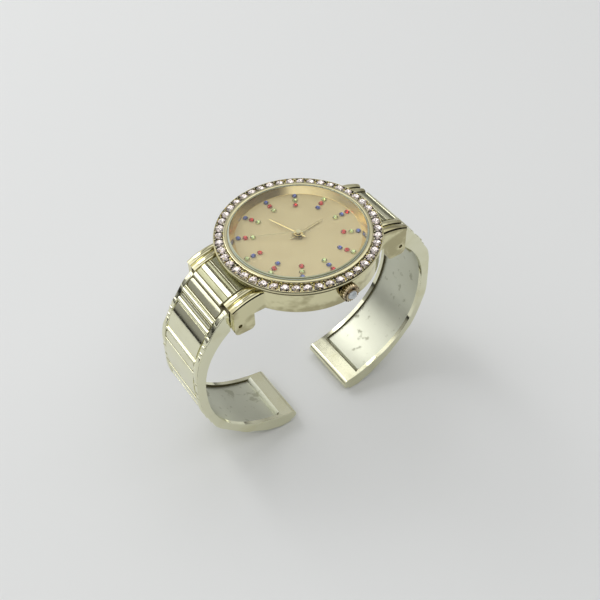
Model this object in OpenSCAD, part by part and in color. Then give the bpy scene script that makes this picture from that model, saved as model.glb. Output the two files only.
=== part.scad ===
// Cuff watch with a hinged metal bracelet. Millimetres, +Z up through the dial, +Y towards twelve
// o'clock and +X towards the crown. The origin is the middle of the flat case back.

/* [Case] */
// Radius of the case band
case_r = 19.2; // [18.8:0.1:19.6]
// Height of the case band
case_h = 6.2; // [5.8:0.1:7]
// Height of the back's foot under the band
back_h = 1.2; // [0.9:0.1:1.8]
// Distance of the back's foot in from the edge of the case band
back_inset = 2.7; // [1.8:0.1:3.3]
// Thickness of the case band round the chamber of the movement
case_wall = 4.0; // [3.7:0.1:4.3]
// Depth of the dial's seat below the top of the band
seat_depth = 1.0; // [0.8:0.05:1.3]
// Running clearance round pieces that slip in
slip = 0.05; // [0.03:0.01:0.08]

/* [Bezel and crystal] */
// Overhang of the bezel past the case band
bezel_overhang = 0.8; // [0.6:0.1:1.2]
// Height of the bezel above the band
bezel_h = 1.66; // [1.5:0.02:2]
// Thickness of the crystal
crystal_t = 1.0; // [0.8:0.05:1.4]
// Width of the bevel round the crystal's top
crystal_edge = 0.25; // [0.1:0.05:0.4]
// Height of the sloped ring round the dial
flange_h = 1.7; // [1.5:0.05:2]
// Width of the sloped ring round the dial
flange_w = 1.5; // [1.3:0.05:1.7]
// Thickness of the crystal's gasket
gasket_t = 0.2; // [0.15:0.01:0.3]
// Width of the bezel's inner rim
inner_rim = 1.0; // [0.7:0.05:1.1]
// Width of the bezel's outer rim
outer_rim = 0.2; // [0.15:0.05:0.4]
// Number of stones in the bezel
bezel_stones = 46; // [36:1:46]
// Diameter of a bezel stone
bezel_stone_d = 2.2; // [1.8:0.05:2.25]
// Clearance of a bezel stone in its channel
stone_gap = 0.05; // [0.03:0.01:0.1]
// Radius of the small prongs between the bezel stones
prong_r = 0.2; // [0.14:0.02:0.24]

/* [Dial] */
// Thickness of the dial
dial_t = 0.4; // [0.3:0.05:0.5]
// Diameter of a dial stone
dial_stone_d = 1.3; // [1:0.05:1.5]
// Height of a dial stone above the dial
dial_stone_h = 0.5; // [0.4:0.02:0.6]
// Distance of the outer circle of dial stones in from the sloped ring
outer_row = 0.9; // [0.8:0.05:1.1]
// Distance of the middle circle of dial stones in from the outer one
middle_row = 1.65; // [1.5:0.05:1.8]
// Distance of the inner circle of dial stones in from the middle one
inner_row = 1.8; // [1.5:0.05:2]

/* [Hands] */
// Length of the hour hand
hour_hand_l = 7.7; // [6:0.1:9]
// Length of the minute hand
minute_hand_l = 9.0; // [8:0.1:12]
// Length of the second hand
second_hand_l = 10.2; // [9:0.1:13]
// Thickness of a hand
hand_t = 0.18; // [0.12:0.01:0.2]
// Radius of the hour hand's hub
hub_r = 1.5; // [1.2:0.05:1.8]
// Hour hand, degrees clockwise from twelve
hour_angle = 352; // [0:1:359]
// Minute hand, degrees clockwise from twelve
minute_angle = 250; // [0:1:359]
// Second hand, degrees clockwise from twelve
second_angle = 207; // [0:1:359]

/* [Lugs and hinges] */
// Outer half width over the lugs
lug_x = 10.5; // [9.9:0.1:11.5]
// Width of one rounded lug ridge
ridge_w = 1.8; // [1.5:0.05:2]
// Radius of the lugs' downward curve
lug_arc_r = 17.4; // [16.8:0.1:18]
// Distance of that curve's centre back from the hinge pin
lug_arc_back = 6.2; // [5.8:0.1:6.6]
// Depth of the lugs' top below the top of the band
lug_drop = 0.76; // [0.6:0.02:1]
// Distance of a hinge pin out from the case band
hinge_out = 3.6; // [3.3:0.1:4]
// Depth of a hinge pin below the band
hinge_drop = 1.9; // [1.7:0.05:2.2]
// Diameter of a hinge pin
pin_d = 1.0; // [0.8:0.05:1.2]
// Reach of the lug ears out past the hinge pin
ear_reach = 1.5; // [1.3:0.1:2]
// Reach of the lug ears back from the hinge pin
ear_back = 3.8; // [3.4:0.1:4.2]
// Depth of the lug ears below the hinge pin
ear_below = 2.6; // [2.3:0.1:3]
// Reach of the end link out past the lug ears
link_reach = 0.9; // [0.4:0.05:1]
// Radius of the arm's head that turns under the lugs
head_r = 4.3; // [4.1:0.05:4.4]
// Clearance round the arm's head
head_gap = 0.3; // [0.2:0.05:0.4]
// Turns of a hinge spring
spring_turns = 6; // [5:1:6]
// Diameter of the hinge spring's wire
spring_wire = 0.3; // [0.2:0.02:0.32]

/* [Bracelet arms] */
// Width of an arm
arm_w = 16.8; // [15.6:0.2:17]
// Distance of the wrist opening's widest point out past the hinge pin
wrist_out = 9.8; // [9:0.1:11]
// Depth of the wrist opening's widest level below the hinge pin
wrist_mid = 19.3; // [18.5:0.1:20]
// Height of the wrist opening above its widest level
wrist_up = 23.5; // [23:0.1:24]
// Depth of the wrist opening below its widest level
wrist_down = 25.8; // [24.5:0.1:28]
// Squareness of the wrist opening, 2 is an ellipse
wrist_power = 2.3; // [2.2:0.02:2.4]
// Thickness of an arm at its thinnest link
arm_t = 2.3; // [2:0.05:2.8]
// Width of the side rail of an arm
rail_w = 1.5; // [1.2:0.05:1.9]
// Depth of the polished panels between the rails
panel_depth = 0.35; // [0.2:0.05:0.5]
// Radius of a broad cross bar
bar_r = 0.6; // [0.45:0.05:0.7]
// Radius of a narrow cross bar
thin_bar_r = 0.3; // [0.2:0.02:0.4]
// Depth of the recess inside an arm
recess_depth = 0.5; // [0.3:0.05:0.8]
// Width of the rims beside that recess
recess_rim = 1.1; // [0.9:0.05:1.6]
// Radius of the small beads on the side rails
bead_r = 0.6; // [0.4:0.05:0.8]
// Rise of the beads above the rails' level
bead_rise = 0.25; // [0.15:0.05:0.4]
// Distance of the beads in from both sides of a rail
bead_inset = 0.25; // [0.15:0.05:0.4]
// Radius of an arm's rounded tip
tip_r = 1.45; // [1.2:0.05:1.6]

/* [Crown] */
// Radius of the crown
crown_r = 2.2; // [1.9:0.05:2.4]
// Length of the crown
crown_l = 1.85; // [1.6:0.05:2.2]
// Gap between the crown and the case band
crown_gap = 0.25; // [0.2:0.01:0.35]
// Number of flutes round the crown
crown_flutes = 22; // [16:1:26]
// Radius of the crown's polished stone
cabochon_r = 1.25; // [1:0.05:1.4]
// Height of the crown's polished stone
cabochon_h = 0.75; // [0.5:0.05:0.9]
// Depth of the winding stem below the dial
stem_depth = 1.1; // [1.05:0.01:1.15]
// Radius of the winding stem
stem_r = 0.45; // [0.4:0.01:0.48]
// Radius of the tube that carries the stem through the case
tube_r = 1.0; // [0.85:0.05:1.05]

/* [Movement] */
// Width of the ring between the movement and the case
movement_ring_w = 2.1; // [1.8:0.05:2.2]
// Thickness of the main plate
plate_t = 1.8; // [1.75:0.05:1.9]
// Height of the space for the wheels between plate and bridge
train_h = 1.4; // [1.36:0.02:1.5]
// Thickness of the train bridge
bridge_t = 0.5; // [0.4:0.05:0.6]
// Distance of the battery's near side from the centre
battery_near = 4.45; // [4.4:0.05:4.7]
// Distance of the battery in from the edge of the main plate
battery_edge = 0.65; // [0.5:0.05:0.8]
// Height of the battery
battery_h = 2.1; // [1.6:0.05:2.15]
// Size of the train's teeth, as pitch diameter per tooth
tooth = 0.1; // [0.095:0.001:0.102]
// Radius of the wheels' thin arbors
arbor_r = 0.12; // [0.1:0.01:0.13]
// Clearance of an arbor in its bearing hole
pivot_gap = 0.03; // [0.02:0.005:0.04]

/* [Hidden] */
$fn = 96;

// Overlap of a cutting shape past the face it cuts
over = 0.5;
// A length that reaches past any piece it cuts
far = 30;

// Levels, from the back face upwards
case_top = back_h + case_h;
seat_z = case_top - seat_depth;
dial_z = seat_z + dial_t;
crystal_z = dial_z + flange_h;
bezel_top = case_top + bezel_h;
hour_z = dial_z + 0.35;
minute_z = hour_z + hand_t + 0.18;
second_z = minute_z + hand_t + 0.16;

// Case and bezel, from the outside inwards
chamber_r = case_r - case_wall;
back_r = case_r - back_inset;
bezel_r = case_r + bezel_overhang;
channel_out = bezel_r - outer_rim;
channel_in = channel_out - bezel_stone_d - 2 * stone_gap;
rim_r = channel_in - inner_rim;
crystal_r = rim_r - gasket_t;
flange_r = rim_r - flange_w;
stones_r = (channel_in + channel_out) / 2;
channel_z = case_top + 0.45;
girdle_z = channel_z + 0.35;
girdle_t = 0.12;
gem_r = min(bezel_stone_d / 2, stones_r * sin(180 / bezel_stones) - stone_gap);

// Circles of dial stones
outer_stones_r = flange_r - outer_row;
middle_stones_r = outer_stones_r - middle_row;
inner_stones_r = middle_stones_r - inner_row;

// Lugs and hinges
hinge_y = case_r + hinge_out;
hinge_z = back_h - hinge_drop;
lug_arc_y = hinge_y - lug_arc_back;
ear_out = hinge_y + ear_reach;
ear_in = hinge_y - ear_back;
lug_arc_z = case_top - lug_drop - lug_arc_r;
ridge_r = ridge_w / 2;
ear_x = lug_x - ridge_w;
link_x = ear_x - ridge_w;
pocket_r = head_r + head_gap;
link_face_r = lug_arc_r - 0.5;
// Depth to which the swept lugs reach in under their top, enough for the ears
lug_deep = 13;
link_end_y = ear_out + link_reach;
// Bars across the end link: distance out from the hinge pin, radius, rise above the link's face
link_bars = [[-2.8, 0.25, 0.2], [-2.1, 0.25, 0.2], [-0.4, 1.1, 0.3], [2.05, 0.5, 0.2]];
pin_r = pin_d / 2;
barrel_r = 1.9;
spring_coil_r = 1.0;
spring_x = 2.5;
spring_pocket_r = 1.5;

// Bracelet arms
wrist_half = hinge_y + wrist_out;
wrist_z = hinge_z - wrist_mid;
// Link corners as degrees round the wrist opening, from the hinge down to the tip
link_at = [42.3, 37.3, 20, 13.5, -3, -9.5, -26, -32, -47, -53, -64, -72, -76.5];
// How much thicker than arm_t the arm is at each of those corners
link_more = [2.3, 1.7, 1, 0.6, 0.1, 0.05, 0, 0, 0.3, 0.7, 1.6, 2.2, 1.65];
// Kind of cross bar at each corner: 2 broad, 1 narrow, 0 none
link_bar = [2, 2, 2, 1, 2, 1, 2, 1, 2, 1, 2, 0, 0];
last_corner = len(link_at) - 1;
// Beads on the rails, in the same degrees, and how far their middles lie from the wrist opening
bead_at = [30.4, 26.6, 7, 1, -16, -22, -38, -44, -58];
bead_out = [3.5, 3.2, 2.4, 2.2, 2.0, 2.0, 2.1, 2.2, 3.2];
inner_start = 44;
inner_end = link_at[last_corner];
inner_step = 3.5;
recess_from = 30;
recess_to = inner_end + 4.5;
recess_step = (recess_from - recess_to) / 28;
panel_x = arm_w / 2 - rail_w;

// Crown and stem
stem_z = seat_z - stem_depth;
crown_x = case_r + crown_gap;
crown_end = crown_x + crown_l;
crown_well = 0.75;
stem_end = crown_end - 0.4;
tube_end = crown_x + 0.5;
stem_bore_r = stem_r + slip;
keyless_in = 4.0;
keyless_out = 10.6;
keyless_half = 1.0;
clutch_x = 6.5;
groove_x = clutch_x + 2.65;
fork_t = 0.2;
clutch_r = 0.7;
clutch_l = 1.0;
clutch_neck = 0.5;
square_w = 0.5;
pilot_r = 0.18;
pilot_x = 2.6;
square_x = keyless_in + 0.05;
stem_round_x = 7.5;

// Movement's radii
plate_r = chamber_r - 2 * slip - movement_ring_w;
battery_r = (plate_r - battery_edge - battery_near) / 2;
battery_out = battery_near + battery_r;
foot_out = plate_r - 1.7;
// Directions of the dial's two feet
foot_dirs = [135, 315];

// Movement levels, from the back upwards
plate_top = seat_z;
plate_z = plate_top - plate_t;
foot_z = plate_z + 0.3;
bridge_top = plate_z - train_h;
bridge_z = bridge_top - bridge_t;
motion_floor = plate_top - 0.9;
spigot_top = bridge_z - 0.3;

// Tooth counts
rotor_leaves = 8;
intermediate_teeth = 48;
intermediate_leaves = 10;
seconds_teeth = 50;
seconds_leaves = 8;
third_teeth = 60;
third_leaves = 8;
centre_teeth = 64;
cannon_teeth = 12;
minute_teeth = 36;
minute_leaves = 10;
hour_teeth = 40;
setting_teeth = 24;

// Distances between centres
intermediate_out = tooth * (intermediate_leaves + seconds_teeth) / 2;
rotor_out = tooth * (rotor_leaves + intermediate_teeth) / 2;
third_out = tooth * (seconds_leaves + third_teeth) / 2;
minute_out = tooth * (cannon_teeth + minute_teeth) / 2;
setting_out = tooth * (minute_teeth + setting_teeth) / 2;
third_tooth = 2 * third_out / (third_leaves + centre_teeth);
hour_tooth = 2 * minute_out / (minute_leaves + hour_teeth);

// Directions of one wheel from another, degrees from +X
third_dir = 200;
intermediate_dir = 20;
rotor_dir = 60;
minute_dir = 60;
setting_dir = -10;

// Angles by which two wheels are turned so that they mesh
third_turn = mate(third_dir, third_dir, seconds_leaves, third_teeth);
minute_turn = mate(minute_dir, minute_dir, cannon_teeth, minute_teeth);

function polar(r, a) = [r * cos(a), r * sin(a)];
intermediate_at = polar(intermediate_out, intermediate_dir);
rotor_at = intermediate_at + polar(rotor_out, rotor_dir);
third_at = polar(third_out, third_dir);
minute_at = polar(minute_out, minute_dir);
setting_at = minute_at + polar(setting_out, setting_dir);
battery_at = [0, -battery_out];
bridge_at = [0.9, 1.2];
bridge_r = 5.0;
screw_spots = [[-1.6, 4.0], [1.6, -3.6], [5.6, -1.85]];
screw_r = 0.3;
coil_y = plate_r - 4.2;
coil_from = 5.8 - plate_r;
coil_to = rotor_at[0] + 0.18;
coil_lug = 1.6;
coil_r = 0.8;
core_w = 0.8;
core_z = bridge_top + 0.35;
core_t = 0.3;
stator_t = 0.25;
board_x = -6.7;
board_t = 0.2;
can_r = 0.75;
can_l = 6;
can_x = board_x - can_r - 0.55;
chip_w = 2.0;
chip_t = 0.6;
dial_foot_r = 0.4;
wheel_post_r = 0.25;
minute_tube_r = 0.42;
hour_bore_r = 0.47;
hour_tube_r = 0.75;
groove_r = 0.28;
groove_half = fork_t / 2 + slip;

// Angle by which the second gear of a pair is turned so that its gap takes the first gear's tooth.
// The first gear has a tooth at turn_a, and the second lies in direction dir from it.
function mate(dir, turn_a, teeth_a, teeth_b) =
    dir + 180 + 180 / teeth_b - (turn_a - dir) * teeth_a / teeth_b;

// Outline of a gear: four points a tooth, narrower at the tip than at the root
function gear_points(teeth, size) =
    let (pitch_r = teeth * size / 2, step = 360 / teeth, root = pitch_r - 0.55 * size * 1.2,
         tip = pitch_r + 0.45 * size * 1.1)
    [for (i = [0:teeth - 1]) each [
        polar(root, step * (i - 0.24)), polar(tip, step * (i - 0.09)),
        polar(tip, step * (i + 0.09)), polar(root, step * (i + 0.24))]];

// A toothed disc between two levels
module gear(teeth, size, z0, z1, turn) {
    translate([0, 0, z0]) rotate(turn) linear_extrude(z1 - z0) polygon(gear_points(teeth, size));
}

// A plain disc between two levels
module disc(r, z0, z1) {
    translate([0, 0, z0]) cylinder(h = z1 - z0, r = r);
}

// A ring between two levels
module ring(r_out, r_in, z0, z1) {
    difference() {
        disc(r_out, z0, z1);
        disc(r_in, z0 - over, z1 + over);
    }
}

// A box from its two opposite corners
module block(low, high) {
    translate(low) cube(high - low);
}

// Children made for +Z stood along +X at the stem's height
module along_stem() {
    translate([0, 0, stem_z]) rotate([0, 90, 0]) children();
}

// Children drawn in a side view (first axis Y, second axis Z), thickened evenly about x = 0
module side_plate(w) {
    rotate([90, 0, 90]) translate([0, 0, -w / 2]) linear_extrude(w) children();
}

// Children at twelve o'clock, or turned round to six
module at_twelve() {
    children();
}

module at_six() {
    rotate(180) children();
}

// Case

// The block that a lug's ridges and middle link are cut from, swept round the lug's arc
module lug_sweep() {
    translate([0, lug_arc_y, lug_arc_z]) rotate([0, 90, 0]) rotate_extrude() {
        for (side = [-1, 1]) {
            for (ridge = [0, 1]) {
                translate([lug_arc_r - ridge_r, side * (ear_x + ridge_r - ridge * ridge_w)])
                    circle(ridge_r, $fn = 48);
            }
        }
        translate([lug_arc_r - lug_deep, -lug_x]) square([lug_deep - ridge_r, 2 * lug_x]);
        translate([lug_arc_r - lug_deep, -link_x]) square([lug_deep + link_face_r - lug_arc_r, 2 * link_x]);
    }
}

// The outline of an ear in side view
module ear_outline() {
    corner = 1.3;
    low = hinge_z - ear_below;
    translate([ear_in, low + corner]) square([ear_out - ear_in, case_top - low]);
    translate([ear_in + corner, low]) square([ear_out - ear_in - 2 * corner, 2 * corner]);
    for (y = [ear_in + corner, ear_out - corner]) translate([y, low + corner]) circle(corner);
    translate([chamber_r, back_h]) square([ear_in - chamber_r + over, case_h]);
}

// One pair of lugs with the ribbed end link between them, at twelve o'clock
module lug_pair() {
    difference() {
        union() {
            intersection() {
                lug_sweep();
                union() {
                    side_plate(2 * lug_x) ear_outline();
                    block([-link_x, chamber_r, back_h], [link_x, link_end_y, case_top]);
                }
            }
            for (bar = link_bars) {
                y = hinge_y + bar[0];
                r = link_face_r + bar[2] - bar[1];
                z = lug_arc_z + sqrt(r * r - pow(y - lug_arc_y, 2));
                translate([-link_x, y, z]) rotate([0, 90, 0]) cylinder(h = 2 * link_x, r = bar[1]);
            }
        }
        translate([-ear_x, hinge_y, hinge_z]) rotate([0, 90, 0]) cylinder(h = 2 * ear_x, r = pocket_r);
        block([-ear_x, hinge_y - pocket_r, hinge_z - far], [ear_x, hinge_y + far, hinge_z + 0.4]);
    }
}

module case_middle() {
    lip = 0.4;
    color([0.80, 0.77, 0.58]) difference() {
        union() {
            disc(case_r, back_h + lip, case_top - lip);
            translate([0, 0, back_h]) cylinder(h = lip, r1 = case_r - lip, r2 = case_r);
            translate([0, 0, case_top - lip]) cylinder(h = lip, r1 = case_r, r2 = case_r - lip / 2);
            at_twelve() lug_pair();
            at_six() lug_pair();
        }
        disc(chamber_r, back_h - far, case_top + over);
        disc(rim_r + slip, seat_z, case_top + over);
        along_stem() disc(tube_r, 0, case_r + over);
        for (side = [-1, 1]) {
            translate([-lug_x - over, side * hinge_y, hinge_z]) rotate([0, 90, 0])
                cylinder(h = 2 * (lug_x + over), r = pin_r);
        }
    }
}

// The bezel: a turned ring with a channel for the stones and prongs between them
module bezel() {
    foot = 0.35;
    step = 360 / bezel_stones;
    prong_top = girdle_z + 0.25;
    color([0.84, 0.81, 0.62]) {
        rotate_extrude() polygon([
            [rim_r, case_top], [case_r - foot, case_top], [case_r - foot, case_top + 0.2],
            [bezel_r - 0.1, case_top + 0.35], [bezel_r, case_top + 0.5],
            [bezel_r, bezel_top - 0.6], [bezel_r - 0.1, bezel_top - 0.5],
            [channel_out, bezel_top - 0.5], [channel_out, channel_z], [channel_in, channel_z],
            [channel_in, bezel_top - 0.1], [channel_in - 0.15, bezel_top],
            [rim_r + 0.15, bezel_top], [rim_r, bezel_top - 0.1]]);
        for (i = [0:bezel_stones - 1]) {
            rotate(-90 + step * (i + 0.5)) {
                for (r = [channel_in + 0.35, channel_out - 0.3]) {
                    translate([r, 0, 0]) disc(prong_r, channel_z - 0.1, prong_top);
                }
            }
        }
    }
}

// A round-cut stone: pavilion, girdle and crown with a flat table
module gem(r, z_low, z_girdle, z_table) {
    translate([0, 0, z_low]) cylinder(h = z_girdle - z_low, r1 = r * 0.55, r2 = r);
    disc(r, z_girdle, z_girdle + girdle_t);
    translate([0, 0, z_girdle + girdle_t])
        cylinder(h = z_table - z_girdle - girdle_t, r1 = r, r2 = r * 0.6);
}

module bezel_gems() {
    color([0.93, 0.94, 0.96]) for (i = [0:bezel_stones - 1]) {
        rotate(-90 + i * 360 / bezel_stones) translate([stones_r, 0, 0])
            gem(gem_r, channel_z, girdle_z, girdle_z + girdle_t + 0.33 * gem_r);
    }
}

module crystal() {
    edge_z = crystal_z + crystal_t - crystal_edge;
    color([0.86, 0.93, 0.90, 0.35]) {
        disc(crystal_r, crystal_z, edge_z);
        translate([0, 0, edge_z]) cylinder(h = crystal_edge, r1 = crystal_r, r2 = crystal_r - crystal_edge);
    }
}

module crystal_gasket() {
    color([0.8, 0.85, 0.8]) ring(rim_r, crystal_r, crystal_z, bezel_top - 0.1);
}

// The sloped ring between dial and crystal
module flange_ring() {
    color([0.85, 0.80, 0.58]) rotate_extrude() polygon([
        [flange_r, dial_z], [rim_r, dial_z], [rim_r, crystal_z],
        [crystal_r - 0.2, crystal_z], [flange_r, dial_z + 0.12]]);
}

// Dial and its stones
module dial() {
    color([0.84, 0.79, 0.64]) difference() {
        union() {
            disc(rim_r, seat_z, dial_z);
            for (a = foot_dirs) translate(polar(foot_out, a)) disc(dial_foot_r, foot_z, seat_z + 0.1);
        }
        disc(hour_tube_r + 0.2, seat_z - over, dial_z + over);
    }
}

// Hours whose outer, middle and inner stone has a colour, counted from twelve o'clock
red_hours = [[0, 3], [2, 5, 7, 8, 9, 11], [1, 4, 6, 10]];
green_hours = [[2, 5, 6, 11], [1, 4, 10], [0, 3, 7, 8, 9]];
blue_hours = [[1, 4, 7, 8, 9, 10], [0, 3, 6], [2, 5, 11]];

module dial_stones(hours) {
    rows = [outer_stones_r, middle_stones_r, inner_stones_r];
    r = dial_stone_d / 2;
    for (row = [0:2]) {
        for (hour = hours[row]) {
            rotate(90 - 30 * hour) translate([rows[row], 0, 0])
                gem(r, dial_z, dial_z + 0.4 * dial_stone_h, dial_z + dial_stone_h);
        }
    }
}

module dial_stones_red() {
    color([0.80, 0.15, 0.12]) dial_stones(red_hours);
}

module dial_stones_green() {
    color([0.65, 0.85, 0.55]) dial_stones(green_hours);
}

module dial_stones_blue() {
    color([0.15, 0.22, 0.62]) dial_stones(blue_hours);
}

// Back
module case_back() {
    bevel = 0.5;
    wall = 1.0;
    snap_r = chamber_r - slip;
    color([0.78, 0.78, 0.76]) difference() {
        union() {
            cylinder(h = bevel, r1 = back_r - bevel, r2 = back_r);
            disc(back_r, bevel, back_h);
            disc(snap_r, back_h, spigot_top);
        }
        disc(snap_r - wall, back_h - 0.3, spigot_top + over);
        ring(snap_r + over, snap_r - 0.35, back_h + 0.25, back_h + 0.65);
    }
}

module back_gasket() {
    color([0.15, 0.15, 0.16]) ring(chamber_r, chamber_r - slip - 0.35, back_h + 0.25, back_h + 0.65);
}

// Movement
module movement_ring() {
    color([0.90, 0.89, 0.84]) difference() {
        ring(chamber_r - slip, plate_r + slip, spigot_top, seat_z);
        along_stem() disc(stem_bore_r + 0.2, plate_r - over, chamber_r + over);
    }
}

// Holes for the arbors through plate or bridge
module arbor_holes(z0, z1) {
    for (at = [rotor_at, intermediate_at, third_at]) {
        translate(at) disc(arbor_r + pivot_gap, z0, z1);
    }
}

module main_plate() {
    post_top = plate_top - 0.1;
    color([0.80, 0.72, 0.45]) difference() {
        union() {
            difference() {
                disc(plate_r, plate_z, plate_top);
                disc(hour_teeth * hour_tooth / 2 + 0.25, motion_floor, plate_top + over);
                translate(minute_at) disc(minute_teeth * tooth / 2 + 0.25, motion_floor, plate_top + over);
                translate(setting_at) disc(setting_teeth * tooth / 2 + 0.25, motion_floor, plate_top + over);
            }
            for (at = [minute_at, setting_at]) {
                translate(at) disc(wheel_post_r, motion_floor - 0.1, post_top);
            }
        }
        disc(minute_tube_r + 0.04, plate_z - over, plate_top);
        arbor_holes(plate_z - over, plate_z + 0.4);
        for (at = screw_spots) translate(at) disc(screw_r + slip, plate_z - over, plate_z + 0.5);
        for (a = foot_dirs) {
            translate(polar(foot_out, a)) disc(dial_foot_r + slip, plate_z - over, plate_top + over);
        }
        block([keyless_in, -keyless_half, plate_z - over], [keyless_out, keyless_half, plate_top + over]);
        along_stem() disc(stem_bore_r, keyless_out - over, plate_r + over);
        along_stem() disc(pilot_r + pivot_gap, pilot_x - 0.3, keyless_in + over);
    }
}

module train_bridge() {
    lobe_r = 0.9;
    pillar_r = 0.5;
    color([0.82, 0.82, 0.80]) difference() {
        union() {
            translate(bridge_at) disc(bridge_r, bridge_z, bridge_top);
            for (at = screw_spots) {
                translate(at) {
                    disc(lobe_r, bridge_z, bridge_top);
                    disc(pillar_r, bridge_z, plate_z);
                }
            }
        }
        arbor_holes(bridge_z - over, bridge_top + over);
        disc(arbor_r + pivot_gap, bridge_z - over, bridge_top + over);
        for (at = screw_spots) translate(at) disc(screw_r + slip, bridge_z - over, plate_z + over);
    }
}

module bridge_screws() {
    head_h = 0.25;
    color([0.62, 0.64, 0.68]) for (at = screw_spots) {
        translate(at) difference() {
            union() {
                disc(0.6, bridge_z - head_h, bridge_z);
                disc(screw_r, bridge_z - head_h, plate_z + 0.45);
            }
            block([-1, -0.07, bridge_z - head_h - over], [1, 0.07, bridge_z - head_h + 0.12]);
        }
    }
}

module battery() {
    rim = 0.7;
    color([0.80, 0.81, 0.82]) translate(battery_at) {
        disc(battery_r, plate_z - battery_h, plate_z - 0.4);
        disc(battery_r - rim, plate_z - 0.4, plate_z);
    }
}

module battery_strap() {
    strap_t = 0.2;
    half = battery_r + 0.25;
    low = plate_z - battery_h - strap_t;
    color([0.85, 0.82, 0.66]) translate(battery_at) {
        block([-half - strap_t, -0.8, low], [half + strap_t, 0.8, low + strap_t]);
        for (side = [-1, 1]) {
            x = side * (half + strap_t / 2);
            block([x - strap_t / 2, -0.8, low], [x + strap_t / 2, 0.8, plate_z]);
        }
    }
}

module coil_core() {
    color([0.72, 0.73, 0.75]) {
        block([coil_from, coil_y - core_w / 2, core_z], [coil_to, coil_y + core_w / 2, core_z + core_t]);
        for (x = [coil_from, coil_to]) {
            block([x - coil_lug / 2, coil_y - coil_lug / 2, core_z],
                  [x + coil_lug / 2, coil_y + coil_lug / 2, core_z + core_t]);
        }
    }
}

module coil() {
    from = coil_from + coil_lug / 2 + 0.2;
    to = coil_to - coil_lug / 2 - 0.2;
    color([0.72, 0.38, 0.18]) difference() {
        translate([from, coil_y, core_z + core_t / 2]) rotate([0, 90, 0])
            cylinder(h = to - from, r = coil_r);
        block([from - over, coil_y - core_w / 2 - 0.02, core_z - 0.02],
              [to + over, coil_y + core_w / 2 + 0.02, core_z + core_t + 0.02]);
    }
}

module stator() {
    eye_r = 1.9;
    hole_r = 1.05;
    half = coil_lug / 2;
    color([0.70, 0.71, 0.72]) translate([0, 0, core_z - stator_t]) linear_extrude(stator_t) difference() {
        union() {
            translate(rotor_at) circle(eye_r);
            translate([coil_to - half, rotor_at[1]]) square([coil_lug, coil_y + half - rotor_at[1]]);
            translate([coil_from - half, coil_y - 2.4]) square([coil_to - coil_from + half, 1.4]);
            translate([coil_from - half, coil_y - 2.4]) square([coil_lug, 2.4 + half]);
        }
        translate(rotor_at) circle(hole_r);
    }
}

module circuit_board() {
    color([0.16, 0.42, 0.26]) intersection() {
        disc(plate_r - 0.4, plate_z - board_t, plate_z);
        block([-plate_r, -6.5, plate_z - 1], [board_x, coil_y - 3.2, plate_z + 1]);
    }
}

module quartz_can() {
    color([0.86, 0.86, 0.88]) translate([can_x, -4.8, plate_z - board_t - can_r]) rotate([-90, 0, 0])
        cylinder(h = can_l, r = can_r);
}

module chip() {
    low = [can_x - chip_w / 2, can_l - 3.8, plate_z - board_t - chip_t];
    color([0.08, 0.08, 0.09]) block(low, low + [chip_w, chip_w, chip_t]);
}

// Wheels of the train, each with its pinion and arbor

module rotor() {
    color([0.35, 0.36, 0.38]) translate(rotor_at) {
        disc(0.8, core_z - 0.3, core_z + 0.15);
        gear(rotor_leaves, tooth, core_z + 0.15, core_z + 0.55,
             mate(rotor_dir, rotor_dir, intermediate_teeth, rotor_leaves));
        disc(arbor_r, bridge_top - 0.3, plate_z + 0.3);
    }
}

module intermediate_wheel() {
    color([0.85, 0.72, 0.36]) translate(intermediate_at) {
        gear(intermediate_teeth, tooth, core_z + 0.3, core_z + 0.45, rotor_dir);
        gear(intermediate_leaves, tooth, bridge_top + 0.1, core_z + 0.35,
             mate(intermediate_dir, intermediate_dir, seconds_teeth, intermediate_leaves));
        disc(arbor_r, bridge_top - 0.3, plate_z + 0.3);
    }
}

module seconds_wheel() {
    color([0.85, 0.72, 0.36]) {
        gear(seconds_teeth, tooth, bridge_top + 0.15, bridge_top + 0.3, intermediate_dir);
        gear(seconds_leaves, tooth, bridge_top + 0.25, bridge_top + 0.8, third_dir);
        disc(arbor_r, bridge_top - 0.3, second_z + hand_t + 0.05);
    }
}

module third_wheel() {
    color([0.85, 0.72, 0.36]) translate(third_at) {
        gear(third_teeth, tooth, bridge_top + 0.55, bridge_top + 0.7, third_turn);
        gear(third_leaves, third_tooth, bridge_top + 0.65, bridge_top + 1.25, third_dir + 180);
        disc(arbor_r, bridge_top - 0.3, plate_z + 0.3);
    }
}

module centre_wheel() {
    color([0.85, 0.72, 0.36]) difference() {
        union() {
            gear(centre_teeth, third_tooth, bridge_top + 1.0, bridge_top + 1.2,
                 mate(third_dir + 180, third_dir + 180, third_leaves, centre_teeth));
            gear(cannon_teeth, tooth, motion_floor + 0.05, motion_floor + 0.35, minute_dir);
            disc(minute_tube_r, bridge_top + 0.95, minute_z + hand_t);
        }
        disc(arbor_r + 0.06, bridge_top, minute_z + 1);
    }
}

module minute_wheel() {
    color([0.85, 0.72, 0.36]) translate(minute_at) difference() {
        union() {
            gear(minute_teeth, tooth, motion_floor + 0.1, motion_floor + 0.3, minute_turn);
            gear(minute_leaves, hour_tooth, motion_floor + 0.25, motion_floor + 0.75, minute_dir + 180);
        }
        disc(wheel_post_r + pivot_gap, motion_floor, plate_top + over);
    }
}

module hour_wheel() {
    color([0.85, 0.72, 0.36]) difference() {
        union() {
            gear(hour_teeth, hour_tooth, motion_floor + 0.45, motion_floor + 0.65,
                 mate(minute_dir + 180, minute_dir + 180, minute_leaves, hour_teeth));
            disc(hour_tube_r, motion_floor + 0.45, hour_z + hand_t);
        }
        disc(hour_bore_r, motion_floor, hour_z + 1);
    }
}

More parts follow.
